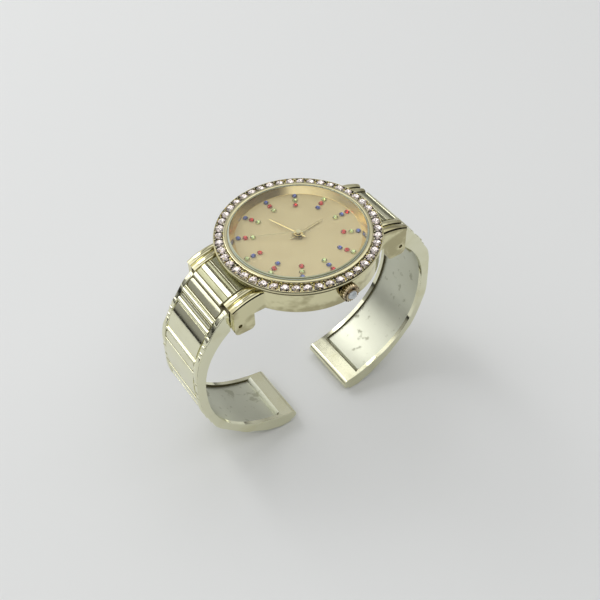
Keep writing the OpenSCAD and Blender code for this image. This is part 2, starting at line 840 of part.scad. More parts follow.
module setting_wheel() {
    color([0.85, 0.72, 0.36]) translate(setting_at) difference() {
        gear(setting_teeth, tooth, motion_floor + 0.1, motion_floor + 0.3,
             mate(setting_dir, minute_turn, minute_teeth, setting_teeth));
        disc(wheel_post_r + pivot_gap, motion_floor, plate_top + over);
    }
}

// Hands

// A slim tapering hand with a short tail, pointing along +X before it is turned
module blade(length, tail, w, z) {
    translate([0, 0, z]) linear_extrude(hand_t) polygon([
        [-tail, -w * 0.35], [-tail, w * 0.35], [0, w / 2], [length * 0.85, w * 0.4],
        [length, 0], [length * 0.85, -w * 0.4], [0, -w / 2]]);
}

module hour_hand() {
    color([0.83, 0.70, 0.38]) difference() {
        rotate(90 - hour_angle) {
            blade(hour_hand_l, 2.4, 0.5, hour_z);
            disc(hub_r, hour_z, hour_z + hand_t);
        }
        disc(hour_tube_r, hour_z - over, hour_z + 1);
    }
}

module minute_hand() {
    color([0.83, 0.70, 0.38]) difference() {
        rotate(90 - minute_angle) {
            blade(minute_hand_l, 2.2, 0.42, minute_z);
            disc(hub_r * 0.75, minute_z, minute_z + hand_t);
        }
        disc(minute_tube_r, minute_z - over, minute_z + 1);
    }
}

module second_hand() {
    color([0.86, 0.76, 0.48]) difference() {
        rotate(90 - second_angle) {
            blade(second_hand_l, 3, 0.2, second_z);
            disc(hub_r * 0.45, second_z, second_z + hand_t + 0.12);
        }
        disc(arbor_r, second_z - over, second_z + hand_t + 0.05);
    }
}

// Crown, stem and setting parts
module crown_tube() {
    color([0.80, 0.77, 0.58]) along_stem() difference() {
        disc(tube_r, chamber_r + 0.15, tube_end);
        disc(stem_bore_r, chamber_r - over, tube_end + over);
    }
}

module stem() {
    color([0.70, 0.71, 0.73]) along_stem() {
        difference() {
            disc(stem_r, stem_round_x, stem_end);
            ring(stem_r + over, groove_r, groove_x - groove_half, groove_x + groove_half);
        }
        block([-square_w / 2, -square_w / 2, square_x], [square_w / 2, square_w / 2, stem_round_x]);
        disc(pilot_r, pilot_x, square_x);
    }
}

module clutch_pinion() {
    hole = square_w + 0.06;
    low = clutch_x - clutch_l / 2;
    color([0.72, 0.72, 0.70]) along_stem() difference() {
        disc(clutch_r, low, low + clutch_l);
        ring(clutch_r + over, clutch_neck, clutch_x - groove_half, clutch_x + groove_half);
        translate([-hole / 2, -hole / 2, low - over]) cube([hole, hole, clutch_l + 2 * over]);
    }
}

// A thin fork that straddles a groove of radius r at x
module fork(x, r) {
    gap = r + 0.03;
    difference() {
        block([x - fork_t / 2, -keyless_half + slip, plate_z + 0.02],
              [x + fork_t / 2, keyless_half - slip, plate_top - 0.1]);
        block([x - fork_t, -gap, stem_z], [x + fork_t, gap, plate_top + over]);
        along_stem() disc(gap, x - fork_t, x + fork_t);
    }
}

module clutch_yoke() {
    color([0.66, 0.68, 0.70]) fork(clutch_x, clutch_neck);
}

module setting_lever() {
    color([0.66, 0.68, 0.70]) fork(groove_x, groove_r);
}

module crown() {
    flute_r = 0.2;
    collar_r = cabochon_r + 0.3;
    chamfer = 0.25;
    color([0.82, 0.78, 0.56]) along_stem() difference() {
        union() {
            disc(crown_r, crown_x, crown_end - chamfer);
            translate([0, 0, crown_end - chamfer])
                cylinder(h = chamfer, r1 = crown_r, r2 = crown_r - chamfer);
            disc(collar_r, crown_end, crown_end + 0.3);
        }
        disc(tube_r + 0.5, crown_x - over, crown_x + crown_well);
        disc(stem_r, crown_x, stem_end);
        disc(cabochon_r, crown_end + 0.05, crown_end + 1);
        for (i = [0:crown_flutes - 1]) {
            rotate(i * 360 / crown_flutes) translate([crown_r + 0.05, 0, 0])
                disc(flute_r, crown_x - over, crown_end + over);
        }
    }
}

module crown_gasket() {
    color([0.12, 0.12, 0.13]) along_stem() ring(tube_r + 0.5, tube_r + 0.02, crown_x + 0.15, crown_x + 0.45);
}

module crown_cabochon() {
    foot = crown_end + 0.05;
    dome_r = (cabochon_r * cabochon_r + cabochon_h * cabochon_h) / (2 * cabochon_h);
    color([0.80, 0.86, 0.92]) along_stem() {
        disc(cabochon_r, foot, foot + 0.25);
        intersection() {
            translate([0, 0, foot + 0.25 + cabochon_h - dome_r]) sphere(dome_r);
            disc(cabochon_r, foot + 0.25, foot + 0.25 + cabochon_h + over);
        }
    }
}

// Bracelet arms

// A signed power, for the rounded-square wrist opening
function bend(v) = sign(v) * pow(abs(v), 2 / wrist_power);

// A point of the wrist opening in side view, t degrees above the widest level
function wrist(t) =
    [wrist_half * bend(cos(t)), wrist_z + (t > 0 ? wrist_up : wrist_down) * bend(sin(t))];

// The outward direction there
function outward(t) =
    let (step = wrist(t + 0.5) - wrist(t - 0.5), l = norm(step))
    [step[1] / l, -step[0] / l];

// A point at a depth into the arm from the wrist opening
function into(t, depth) = wrist(t) + depth * outward(t);

corners = [for (i = [0:last_corner]) into(link_at[i], arm_t + link_more[i])];
inner_line = [for (t = [inner_start:-inner_step:inner_end]) wrist(t)];
hinge_at = [hinge_y, hinge_z];
// Where the first link's flat meets the round of the arm's head
first_flat = atan2(corners[0][1] - hinge_z, corners[0][0] - hinge_y)
    + acos(head_r / norm(corners[0] - hinge_at));
head_edge = hinge_at + polar(head_r, first_flat);
tip_at = into(inner_end, tip_r) + [0.1, 0];

// The arm in side view
module arm_outline() {
    translate(hinge_at) circle(barrel_r);
    translate(tip_at) circle(tip_r);
    polygon(concat([hinge_at, head_edge], corners, [for (i = [len(inner_line) - 1:-1:0]) inner_line[i]]));
    intersection() {
        translate(hinge_at) circle(head_r);
        polygon([hinge_at, hinge_at + polar(2 * head_r, first_flat - 5),
                 hinge_at + polar(2 * head_r, first_flat + 30), hinge_at + polar(2 * head_r, 105)]);
    }
}

// The shallow pocket between two cross bars, cut into the link's flat
module panel_cut(a, b) {
    dir = b - a;
    long = norm(dir);
    spare = bar_r + 0.15;
    if (long > 2 * spare + 0.6) {
        translate([0, a[0], a[1]]) rotate([atan2(dir[1], dir[0]), 0, 0])
            translate([-panel_x, spare, -panel_depth]) cube([2 * panel_x, long - 2 * spare, 3]);
    }
}

// The slanted edge of a side rail along one link's flat
module rail_bevel(a, b, side) {
    dir = b - a;
    w = 0.75;
    translate([side * arm_w / 2, a[0], a[1]]) rotate([atan2(dir[1], dir[0]), 0, 0])
        rotate([0, side * 40, 0]) translate([-2, -0.3, -w * 0.45]) cube([4, norm(dir) + 0.6, 3]);
}

// A bar across an arm at an angle round the wrist opening, at a distance from it
module arm_bar(t, out, r, from, to) {
    at = into(t, out);
    translate([from, at[0], at[1]]) rotate([0, 90, 0]) cylinder(h = to - from, r = r);
}

module arm() {
    edges = concat([head_edge], corners);
    bar_size = [0, thin_bar_r, bar_r];
    bar_out = [for (i = [0:last_corner]) arm_t + link_more[i] - 0.55 * bar_size[link_bar[i]]];
    bead_l = rail_w - 2 * bead_inset;
    for (from = [panel_x + bead_inset, bead_inset - arm_w / 2]) {
        for (i = [0:len(bead_at) - 1]) {
            arm_bar(bead_at[i], bead_out[i] + bead_rise - bead_r, bead_r, from, from + bead_l);
        }
    }
    difference() {
        union() {
            side_plate(arm_w) arm_outline();
            for (i = [0:last_corner]) {
                r = bar_size[link_bar[i]];
                if (r > 0) arm_bar(link_at[i], bar_out[i], r, -panel_x, panel_x);
            }
        }
        difference() {
            union() {
                for (i = [0:last_corner - 1]) panel_cut(edges[i], edges[i + 1]);
            }
            for (i = [0:last_corner]) arm_bar(link_at[i], bar_out[i], bar_r, -panel_x, panel_x);
        }
        for (side = [-1, 1]) for (i = [0:last_corner - 1]) rail_bevel(edges[i], edges[i + 1], side);
        side_plate(arm_w - 2 * recess_rim) polygon(concat(
            [for (t = [recess_from:-recess_step:recess_to]) into(t, recess_depth)],
            [for (t = [recess_to:recess_step:recess_from]) into(t, -over)]));
        translate([-arm_w, hinge_y, hinge_z]) rotate([0, 90, 0])
            cylinder(h = 2 * arm_w, r = pin_r + pivot_gap);
        translate([-spring_x, hinge_y, hinge_z]) rotate([0, 90, 0])
            cylinder(h = 2 * spring_x, r = spring_pocket_r);
        block([-spring_x, hinge_y - pocket_r, hinge_z - pocket_r],
              [spring_x, hinge_y, hinge_z + spring_pocket_r]);
    }
}

module arm_12() {
    color([0.78, 0.76, 0.58]) at_twelve() arm();
}

module arm_6() {
    color([0.78, 0.76, 0.58]) at_six() arm();
}

module hinge_pin() {
    half = lug_x - 0.1;
    translate([-half, hinge_y, hinge_z]) rotate([0, 90, 0]) cylinder(h = 2 * half, r = pin_r);
}

module hinge_pin_12() {
    color([0.55, 0.53, 0.42]) at_twelve() hinge_pin();
}

module hinge_pin_6() {
    color([0.55, 0.53, 0.42]) at_six() hinge_pin();
}

// One unbroken wire wound round the pin
module hinge_spring() {
    sides = 6;
    per_turn = 24;
    rings = spring_turns * per_turn;
    r = spring_wire / 2;
    half = spring_x - 0.2 - r;
    pitch = 2 * half / spring_turns;
    middle = [for (i = [0:rings]) let (a = 360 * i / per_turn)
        [-half + pitch * i / per_turn, spring_coil_r * cos(a), spring_coil_r * sin(a)]];
    gap = min([for (i = [0:rings]) for (j = [i + per_turn / 2:rings]) norm(middle[j] - middle[i])]);
    echo(str("least gap of the hinge spring to itself: ", gap - spring_wire, " mm"));
    points = [for (i = [0:rings]) for (j = [0:sides - 1])
        let (a = 360 * i / per_turn, b = 360 * j / sides, out = spring_coil_r + r * cos(b))
        [-half + pitch * i / per_turn + r * sin(b), out * cos(a), out * sin(a)]];
    walls = [for (i = [0:rings - 1]) for (j = [0:sides - 1])
        let (p = i * sides + j, q = i * sides + (j + 1) % sides)
        each [[p, q, q + sides], [p, q + sides, p + sides]]];
    start = [for (j = [1:sides - 2]) [0, j + 1, j]];
    end = [for (j = [1:sides - 2]) [rings * sides, rings * sides + j, rings * sides + j + 1]];
    translate([0, hinge_y, hinge_z]) polyhedron(points, concat(walls, start, end));
}

module hinge_spring_12() {
    color([0.70, 0.70, 0.72]) at_twelve() hinge_spring();
}

module hinge_spring_6() {
    color([0.70, 0.70, 0.72]) at_six() hinge_spring();
}

case_middle();
bezel();
bezel_gems();
crystal();
crystal_gasket();
flange_ring();
dial();
dial_stones_red();
dial_stones_green();
dial_stones_blue();
case_back();
back_gasket();
movement_ring();
main_plate();
train_bridge();
bridge_screws();
battery();
battery_strap();
coil();
coil_core();
stator();
circuit_board();
quartz_can();
chip();
rotor();
intermediate_wheel();
seconds_wheel();
third_wheel();
centre_wheel();
minute_wheel();
hour_wheel();
setting_wheel();
hour_hand();
minute_hand();
second_hand();
stem();
clutch_pinion();
clutch_yoke();
setting_lever();
crown();
crown_cabochon();
crown_tube();
crown_gasket();
arm_12();
arm_6();
hinge_pin_12();
hinge_pin_6();
hinge_spring_12();
hinge_spring_6();
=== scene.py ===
# %% [markdown]
# # A bracelet watch
# A round watch on two rigid arms that are cast to look like links, plated pale gold all over. The
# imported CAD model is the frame: its pieces already stand in their places. This lesson dresses it in
# steps: camera, tools, finishes, then one piece after another, and last the light.

# %% Load the frame
from math import acos, asin, atan2, copysign, cos, degrees, hypot, pi, radians, sin, tau
import bmesh
import bpy
import numpy as np
from mathutils import Matrix, Vector


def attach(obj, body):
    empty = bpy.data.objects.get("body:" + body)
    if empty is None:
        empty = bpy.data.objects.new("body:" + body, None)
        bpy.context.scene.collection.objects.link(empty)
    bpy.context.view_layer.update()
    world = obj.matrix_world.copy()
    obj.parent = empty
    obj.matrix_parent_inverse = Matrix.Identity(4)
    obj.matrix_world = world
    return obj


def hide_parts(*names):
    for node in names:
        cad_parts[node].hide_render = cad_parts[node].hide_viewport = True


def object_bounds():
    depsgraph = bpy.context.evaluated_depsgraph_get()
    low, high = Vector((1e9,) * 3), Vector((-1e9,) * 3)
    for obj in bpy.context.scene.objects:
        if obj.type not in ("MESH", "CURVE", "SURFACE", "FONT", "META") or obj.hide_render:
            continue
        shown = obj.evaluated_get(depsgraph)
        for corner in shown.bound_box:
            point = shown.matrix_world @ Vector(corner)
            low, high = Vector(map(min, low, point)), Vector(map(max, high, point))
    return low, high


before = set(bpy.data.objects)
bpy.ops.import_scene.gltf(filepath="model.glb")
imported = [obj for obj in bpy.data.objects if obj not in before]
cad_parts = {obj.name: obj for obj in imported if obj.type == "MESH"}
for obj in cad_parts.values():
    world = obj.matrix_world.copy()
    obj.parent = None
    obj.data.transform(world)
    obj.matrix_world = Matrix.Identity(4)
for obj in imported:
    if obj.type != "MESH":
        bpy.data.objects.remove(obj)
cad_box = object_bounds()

MM = 0.001
print("nodes", len(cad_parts), "box", [[round(c / MM, 1) for c in corner] for corner in cad_box])

# %% [markdown]
# The camera looks from beside the crown, a little over half way up. Its turn, height and roll come
# from the ellipse of the bezel and the marks of the dial, and it stands far enough off for the two
# arms to keep nearly equal widths. A matrix from three axes is clearer here than Euler angles,
# because the small roll is just a turn of two of them.

# %% Camera
PICTURE = 600
FOCAL_PX = 900
SENSOR_MM = 36
AZIMUTH, ELEVATION, ROLL = radians(57.5), radians(46.2), radians(-1.97)
DISTANCE = 211.3 * MM
DIAL_LEVEL = 6.8 * MM
DIAL_CENTRE_PX = (298.36, 236.71)

back = Vector((sin(AZIMUTH) * cos(ELEVATION), -cos(AZIMUTH) * cos(ELEVATION),
               sin(ELEVATION)))
right = Vector((cos(AZIMUTH), sin(AZIMUTH), 0))
up = back.cross(right)
right, up = (right * cos(ROLL) + up * sin(ROLL),
             up * cos(ROLL) - right * sin(ROLL))
across = (DIAL_CENTRE_PX[0] - PICTURE / 2) * DISTANCE / FOCAL_PX
above = (PICTURE / 2 - DIAL_CENTRE_PX[1]) * DISTANCE / FOCAL_PX
eye = Vector((0, 0, DIAL_LEVEL)) + DISTANCE * back - across * right - above * up


def add_object(name, data):
    made = bpy.data.objects.new(name, data)
    bpy.context.scene.collection.objects.link(made)
    return made


camera = add_object("camera", bpy.data.cameras.new("camera"))
camera.data.sensor_width = SENSOR_MM
camera.data.lens = SENSOR_MM * FOCAL_PX / PICTURE
camera.data.clip_start = 1 * MM
camera.matrix_world = Matrix.Translation(eye) @ Matrix((right, up, back)).transposed().to_4x4()
bpy.context.scene.camera = camera
print("camera at", [round(c / MM, 1) for c in eye], "mm")

# %% [markdown]
# ## Shader sums
# Finishes are sums of noises. Wiring each Math node by hand hides the idea, so a node's output is
# wrapped in a small class, and plain arithmetic on it adds the nodes. Any other node comes from one
# method that takes its type, its settings and the values or links of its sockets.

# %% Signals and graphs
class Signal:
    """A node's output, on which arithmetic adds Math nodes."""

    def __init__(self, graph, socket):
        self.graph, self.socket = graph, socket

    def sum(self, operation, *values):
        return self.graph.node("Math", {"operation": operation}, dict(enumerate(values)))

    def __add__(self, other):
        return self.sum("ADD", self, other)

    def __sub__(self, other):
        return self.sum("SUBTRACT", self, other)

    def __rsub__(self, other):
        return self.sum("SUBTRACT", other, self)

    def __mul__(self, other):
        return self.sum("MULTIPLY", self, other)

    __radd__, __rmul__ = __add__, __mul__


class Graph:
    """The nodes of a material or of the world."""

    def __init__(self, owner, output):
        owner.use_nodes = True
        self.tree = owner.node_tree
        self.tree.nodes.clear()
        self.output = self.make(output)

    def make(self, kind):
        return self.tree.nodes.new("ShaderNode" + kind)

    def node(self, kind, settings=None, values=None, output=0):
        made = self.make(kind)
        for name, value in (settings or {}).items():
            if name == "stops":
                self.set_stops(made.color_ramp, value)
            else:
                setattr(made, name, value)
        for name, value in (values or {}).items():
            if isinstance(value, Signal):
                self.tree.links.new(value.socket, made.inputs[name])
            else:
                made.inputs[name].default_value = value
        return Signal(self, made.outputs[output])

    def set_stops(self, ramp, stops):
        while len(ramp.elements) < len(stops):
            ramp.elements.new(0.5)
        for element, (position, colour) in zip(ramp.elements, stops):
            element.position = position
            element.color = (*colour, 1)

    def steps(self, signal, low, high):
        """0 where the signal is under low, 1 where it is over high."""
        return self.node("MapRange", {"interpolation_type": "SMOOTHSTEP"},
                         {"Value": signal, "From Min": low, "From Max": high})

    def show(self, surface):
        self.tree.links.new(surface.socket, self.output.inputs["Surface"])


print("0.1 + 0.2 * mask now adds its own Math nodes")

# %% [markdown]
# ## Finish, the base of every material
# Each finish is a Principled shader. What is the same all over is set on the shader's own socket,
# and only what changes over the surface is linked. Places are read from Object coordinates turned
# into millimetres, so that every noise below is written at its real size.

# %% The Finish class
class Finish(Graph):
    """A material that is written as sums of noises."""

    def __init__(self, name, colour, constants=None):
        self.material = bpy.data.materials.new(name)
        super().__init__(self.material, "OutputMaterial")
        self.shader = self.make("BsdfPrincipled")
        for socket, value in {"Base Color": (*colour, 1), **(constants or {})}.items():
            self.shader.inputs[socket].default_value = value
        self.surface = Signal(self, self.shader.outputs[0])
        self.show(self.surface)
        self.place = self.node("VectorMath", {"operation": "SCALE"},
                               {0: self.node("TexCoord", output="Object"), "Scale": 1 / MM})

    def noise(self, size, detail=2.0, stretch=(1, 1, 1)):
        """A noise from 0 to 1 with blotches size mm wide, divided by stretch on each axis."""
        spot = self.node("VectorMath", {"operation": "MULTIPLY"}, {0: self.place, 1: stretch})
        return self.node("TexNoise", None, {"Vector": spot, "Scale": 1 / size, "Detail": detail})

    def blend(self, mask, first, second):
        first = first if isinstance(first, Signal) else (*first, 1)
        return self.node("Mix", {"data_type": "RGBA"},
                         {0: mask, 6: first, 7: (*second, 1)}, output=2)

    def drive(self, socket, signal):
        self.tree.links.new(signal.socket, self.shader.inputs[socket])

    def paint(self, mask, first, second):
        self.drive("Base Color", self.blend(mask, first, second))

    def roughen(self, signal):
        self.drive("Roughness", signal)

    def bump(self, height, rise_mm):
        """Height from 0 to 1 stands up by rise_mm."""
        values = {"Height": height, "Distance": rise_mm * MM, "Strength": 1.0}
        self.drive("Normal", self.node("Bump", None, values))


print("finishes read their place in millimetres")

# %% [markdown]
# ## Plated metal
# The watch is cast, polished and plated. Up close such a surface isn't a perfect mirror: polishing
# leaves it slightly wavy, wiping leaves fine hairlines, and fingers leave faint dull patches. Three
# noises give that, and the metal's colour shifts a little where the plating is thinner.

# %% Plating
PATCH_MM, WAVE_MM, HAIRLINE_MM = 6.5, 2.2, 0.6


def plated(name, colour, thin_colour, rough, wave=0.004, worn=(0.45, 0.75)):
    """worn gives the noise levels where the thinner plating begins and is complete."""
    finish = Finish(name, colour, {"Metallic": 1.0})
    patches = finish.steps(finish.noise(PATCH_MM, 3, stretch=(1, 1, 1.7)), *worn)
    hairlines = finish.steps(finish.noise(HAIRLINE_MM, 4, stretch=(1, 9, 9)), 0.56, 0.7)
    finish.paint(patches, colour, thin_colour)
    finish.roughen(rough + 0.07 * patches + 0.12 * hairlines)
    finish.bump(finish.noise(WAVE_MM, 1) + 0.12 * hairlines, wave)
    return finish.material


case_gold = plated("case_gold", (0.74, 0.70, 0.45), (0.46, 0.42, 0.25), 0.06, worn=(0.45, 0.60))
bezel_gold = plated("bezel_gold", (0.72, 0.67, 0.43), (0.62, 0.57, 0.34), 0.08)
bracelet_gold = plated("bracelet_gold", (0.80, 0.79, 0.59), (0.74, 0.72, 0.50), 0.06, 0.006)
# A darker copy of the plated gold: the satin ribs' colour is painted dark as shade.
satin_gold_painted_shade = plated("satin_gold_painted_shade", (0.31, 0.31, 0.20), (0.27, 0.27, 0.17), 0.24)
crown_gold = plated("crown_gold", (0.50, 0.43, 0.29), (0.35, 0.27, 0.16), 0.08)
hand_gold = plated("hand_gold", (0.90, 0.74, 0.38), (0.84, 0.66, 0.30), 0.12, 0.001)
# A darker copy of the hand gold for the hour hand: painted shade.
hand_gold_painted_shade = plated("hand_gold_painted_shade", (0.52, 0.44, 0.24), (0.46, 0.38, 0.20), 0.22, 0.001)
pale_hand_gold = plated("pale_hand_gold", (0.74, 0.66, 0.42), (0.70, 0.62, 0.38), 0.3, 0.001)
# The flange's gold is tinted warm: a painted reflection of the dial.
flange_gold = plated("flange_gold", (0.90, 0.72, 0.39), (0.86, 0.67, 0.34), 0.17, 0.003)
print("plated finishes:", case_gold.name, bezel_gold.name, bracelet_gold.name)

# %% [markdown]
# The inside of the arms was never polished. It is silvery with a green-grey cast, dull, wiped along
# the arm, and carries stains from the plating bath and scratches from wear. Grooves, gaps and recess
# walls get a dark finish that is painted shade.

# %% The arms' inside and the grooves
def bath_stained(name):
    finish = Finish(name, (0.62, 0.62, 0.52), {"Metallic": 1.0})
    stains = finish.steps(finish.noise(2.4, 5), 0.60, 0.68)
    clouds = finish.noise(9.0, 3)
    scratches = finish.steps(finish.noise(1.4, 5, stretch=(7, 1, 1)), 0.58, 0.66)
    cast = finish.blend(clouds, (0.56, 0.57, 0.46), (0.70, 0.71, 0.60))
    finish.paint(0.45 * stains, cast, (0.32, 0.32, 0.22))
    finish.roughen(0.32 + 0.16 * clouds + 0.16 * stains - 0.08 * scratches)
    finish.bump(finish.noise(0.5, 4, stretch=(3, 1, 1)) + 0.5 * scratches, 0.006)
    return finish.material


# Painted shade: a dark, mottled finish for grooves, gaps and walls where shade falls.
def painted_shade(name):
    finish = Finish(name, (0.16, 0.14, 0.07), {"Metallic": 0.8})
    mottle = finish.noise(0.5, 4)
    finish.paint(mottle, (0.10, 0.09, 0.045), (0.26, 0.23, 0.13))
    finish.roughen(0.45 + 0.3 * mottle)
    return finish.material


arm_inside = bath_stained("arm_inside")
painted_groove_shade = painted_shade("painted_groove_shade")
print("inside finish:", arm_inside.name)

# %% [markdown]
# ## Stones
# The stones are cut glass with a mirror foil behind. A clear glass crown over a metal pavilion
# sends light back out through the facets as the foil does, which plain glass over gold wouldn't.

# %% Stone finishes
def cut_glass(name, colour, foil_colour):
    glass = Finish(name, colour, {"Transmission Weight": 1.0, "IOR": 1.62})
    glass.roughen(0.01 + 0.03 * glass.noise(0.8, 2))
    foil = Finish(name + "_foil", foil_colour, {"Metallic": 1.0})
    foil.roughen(0.03 + 0.10 * foil.noise(0.4, 2))
    return [glass.material, foil.material]


clear_stone = cut_glass("clear_stone", (0.99, 0.98, 0.97), (0.95, 0.88, 0.86))
red_stone = cut_glass("red_stone", (0.85, 0.07, 0.04), (0.85, 0.50, 0.42))
green_stone = cut_glass("green_stone", (0.79, 0.92, 0.62), (0.88, 0.88, 0.62))
blue_stone = cut_glass("blue_stone", (0.14, 0.18, 0.46), (0.68, 0.70, 0.95))
print("stones:", clear_stone[0].name, red_stone[0].name, green_stone[0].name, blue_stone[0].name)

# %% [markdown]
# ## From a bmesh to a piece
# Everything is modelled in millimetres. One helper brings it to metres, shades it and hands it to
# its body. Weighted normals keep large faces flat beside their small bevels, where plain smooth
# shading would bend the reflections in polished metal.

# %% Making a piece
def as_mesh(name, shape):
    mesh = bpy.data.meshes.new(name)
    shape.to_mesh(mesh)
    shape.free()
    return mesh


def make_piece(name, shape, finishes, body, slot, *nodes, sharp=40):
    bmesh.ops.scale(shape, vec=(MM, MM, MM), verts=shape.verts)
    face_outwards(shape)
    mesh = as_mesh(name, shape)
    for finish in finishes:
        mesh.materials.append(finish)
    mesh.shade_smooth()
    mesh.set_sharp_from_angle(angle=radians(sharp))
    piece = add_object(name, mesh)
    piece.modifiers.new("flat_faces", "WEIGHTED_NORMAL").keep_sharp = True
    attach(piece, body)
    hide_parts(*nodes)
    print(name, len(mesh.polygons), "faces")
    return piece


def face_outwards(shape):
    bmesh.ops.recalc_face_normals(shape, faces=shape.faces)


def whole(shape):
    return shape.verts[:] + shape.edges[:] + shape.faces[:]


def of_kind(made, kind):
    """What an operator made, of one kind: its corners or its faces."""
    return [element for element in made["geom"] if isinstance(element, kind)]


print("one call makes a piece")

# %% [markdown]
# Moving, turning and rounding come up in every piece, so each gets a short helper. A bevel is how
# Blender rounds an edge: it replaces the edge by a few narrow faces.

# %% Moving, turning and rounding
def shift(shape, by, verts=None):
    bmesh.ops.translate(shape, verts=verts or shape.verts, vec=by)


def turn(shape, angle, axis, about=(0, 0, 0), verts=None):
    bmesh.ops.rotate(shape, verts=verts or shape.verts, cent=about, matrix=Matrix.Rotation(angle, 3, axis))


def round_edges(shape, edges, width, segments, clamp=False):
    bmesh.ops.bevel(shape, geom=edges, offset=width, offset_type="OFFSET", affect="EDGES",
                    segments=segments, profile=0.5, material=-1, clamp_overlap=clamp)


def soften(shape, width, segments, corner):
    """Rounds the edges that turn by more than corner degrees, as polishing does."""
    chosen = [e for e in shape.edges
              if len(e.link_faces) == 2 and e.calc_face_angle() > radians(corner)]
    round_edges(shape, chosen, width, segments, clamp=True)


def rod(radius, length, sides, rounding, steps):
    """A rod along X with rounded ends."""
    shape = bmesh.new()
    bmesh.ops.create_cone(shape, cap_ends=True, segments=sides, radius1=radius, radius2=radius, depth=length)
    turn(shape, pi / 2, "Y")
    soften(shape, rounding, steps, corner=60)
    return shape


def thicken(shape, faces, by):
    """Draws flat faces out into a solid."""
    made = bmesh.ops.extrude_face_region(shape, geom=faces, use_keep_orig=True)
    shift(shape, by, of_kind(made, bmesh.types.BMVert))
    face_outwards(shape)


def turned(profile, steps=192):
    """A closed outline of (radius, height) points spun round the watch's axis."""
    shape = bmesh.new()
    points = [shape.verts.new((r, 0, z)) for r, z in profile]
    lines = [shape.edges.new((points[i - 1], points[i])) for i in range(len(points))]
    bmesh.ops.spin(shape, geom=points + lines, cent=(0, 0, 0), axis=(0, 0, 1), angle=tau,
                   steps=steps, use_merge=True)
    bmesh.ops.remove_doubles(shape, verts=shape.verts, dist=1e-4)
    face_outwards(shape)
    return shape


def close_ends(shape):
    bmesh.ops.holes_fill(shape, edges=[e for e in shape.edges if len(e.link_faces) == 1])
    face_outwards(shape)


def merge(shape, other):
    """Adds the other bmesh to the first."""
    mesh = as_mesh("part", other)
    shape.from_mesh(mesh)
    bpy.data.meshes.remove(mesh)


def add_copy(shape, mesh, place):
    """Adds a mesh to a bmesh, moved by the matrix."""
    first = len(shape.verts)
    shape.from_mesh(mesh)
    shape.verts.ensure_lookup_table()
    bmesh.ops.transform(shape, matrix=place, verts=shape.verts[first:])


print("shapes can be moved, turned, rounded, spun and joined")

# %% [markdown]
# The watch has two ends alike. What belongs to an arm is made at twelve o'clock and, for the other
# arm, turned round to six. What belongs to the case gets both ends in one piece.

# %% The two ends
ENDS = {"twelve": "12", "six": "6"}


def at_end(shape, end):
    if end == "six":
        turn(shape, pi, "Z")
    return shape


def both_ends(shape):
    made = bmesh.ops.duplicate(shape, geom=whole(shape))
    turn(shape, pi, "Z", verts=of_kind(made, bmesh.types.BMVert))
    return shape


def between(side, near, far):
    """A span across the watch on one side of its middle."""
    return sorted((side * near, side * far))


print("ends:", *ENDS)

# %% [markdown]
# ## Laying flat pieces along a curve
# The cast "links" of the arms are rails, bars and plates that follow the arm's bend. Modelling
# each one in place would need awkward angles. It is easier to make it flat, as across, along and
# up, cut it into short lengths so that it can bend, and lay it along a curve in side view.

# %% Curves in side view
class SideCurve:
    """A curve of (y, z) points. Flat pieces are laid along it with their tops outwards."""

    def __init__(self, points):
        self.points = np.array(points, dtype=float)
        steps = np.linalg.norm(np.diff(self.points, axis=0), axis=1)
        self.along = np.concatenate([[0], np.cumsum(steps)])

    def at(self, s):
        return Vector([float(np.interp(s, self.along, self.points[:, k])) for k in (0, 1)])

    def outward(self, s, reach=0.12):
        step = (self.at(s + reach) - self.at(s - reach)).normalized()
        return Vector((-step.y, step.x))

    def passing(self, y, count=None):
        """Length along the curve where its first points pass y."""
        return float(np.interp(y, self.points[:count, 0], self.along[:count]))

    def gap(self, point):
        """Distance of a point from the nearest mark of the curve."""
        return float(np.min(np.hypot(self.points[:, 0] - point.y, self.points[:, 1] - point.z)))

    def lay(self, shape):
        for corner in shape.verts:
            spot = self.at(corner.co.y) + corner.co.z * self.outward(corner.co.y)
            corner.co = (corner.co.x, spot.x, spot.y)
        return shape


print("pieces made flat can be laid along a curve")

# %% Blocks and slabs
SAME = 1e-4


def flat_block(x, s, height, corner, edge, crown=0.0, step=0.6):
    """A block with rounded corners, made flat: x across, s along and height up, each (from, to)."""
    shape = bmesh.new()
    bmesh.ops.create_cube(shape, size=1)
    spans = [Vector(pair) for pair in (x, s, height)]
    bmesh.ops.scale(shape, vec=[pair.y - pair.x for pair in spans], verts=shape.verts)
    shift(shape, [(pair.x + pair.y) / 2 for pair in spans])
    length = s[1] - s[0]
    limit = 0.45 * min(x[1] - x[0], length)
    upright = [e for e in shape.edges if abs(e.verts[0].co.z - e.verts[1].co.z) > SAME]
    round_edges(shape, upright, min(corner, limit), 4)
    top = [e for e in shape.edges if all(abs(v.co.z - height[1]) < SAME for v in e.verts)]
    round_edges(shape, top, min(edge, limit), 3)
    parts = max(1, round(length / step))
    for i in range(1, parts):
        bmesh.ops.bisect_plane(shape, geom=whole(shape), plane_co=(0, s[0] + i * length / parts, 0),
                               plane_no=(0, 1, 0))
    for v in shape.verts:
        if v.co.z > height[0] + 10 * SAME:
            v.co.z += crown * (1 - ((v.co.y - s[0] - length / 2) / (length / 2)) ** 2)
    return shape


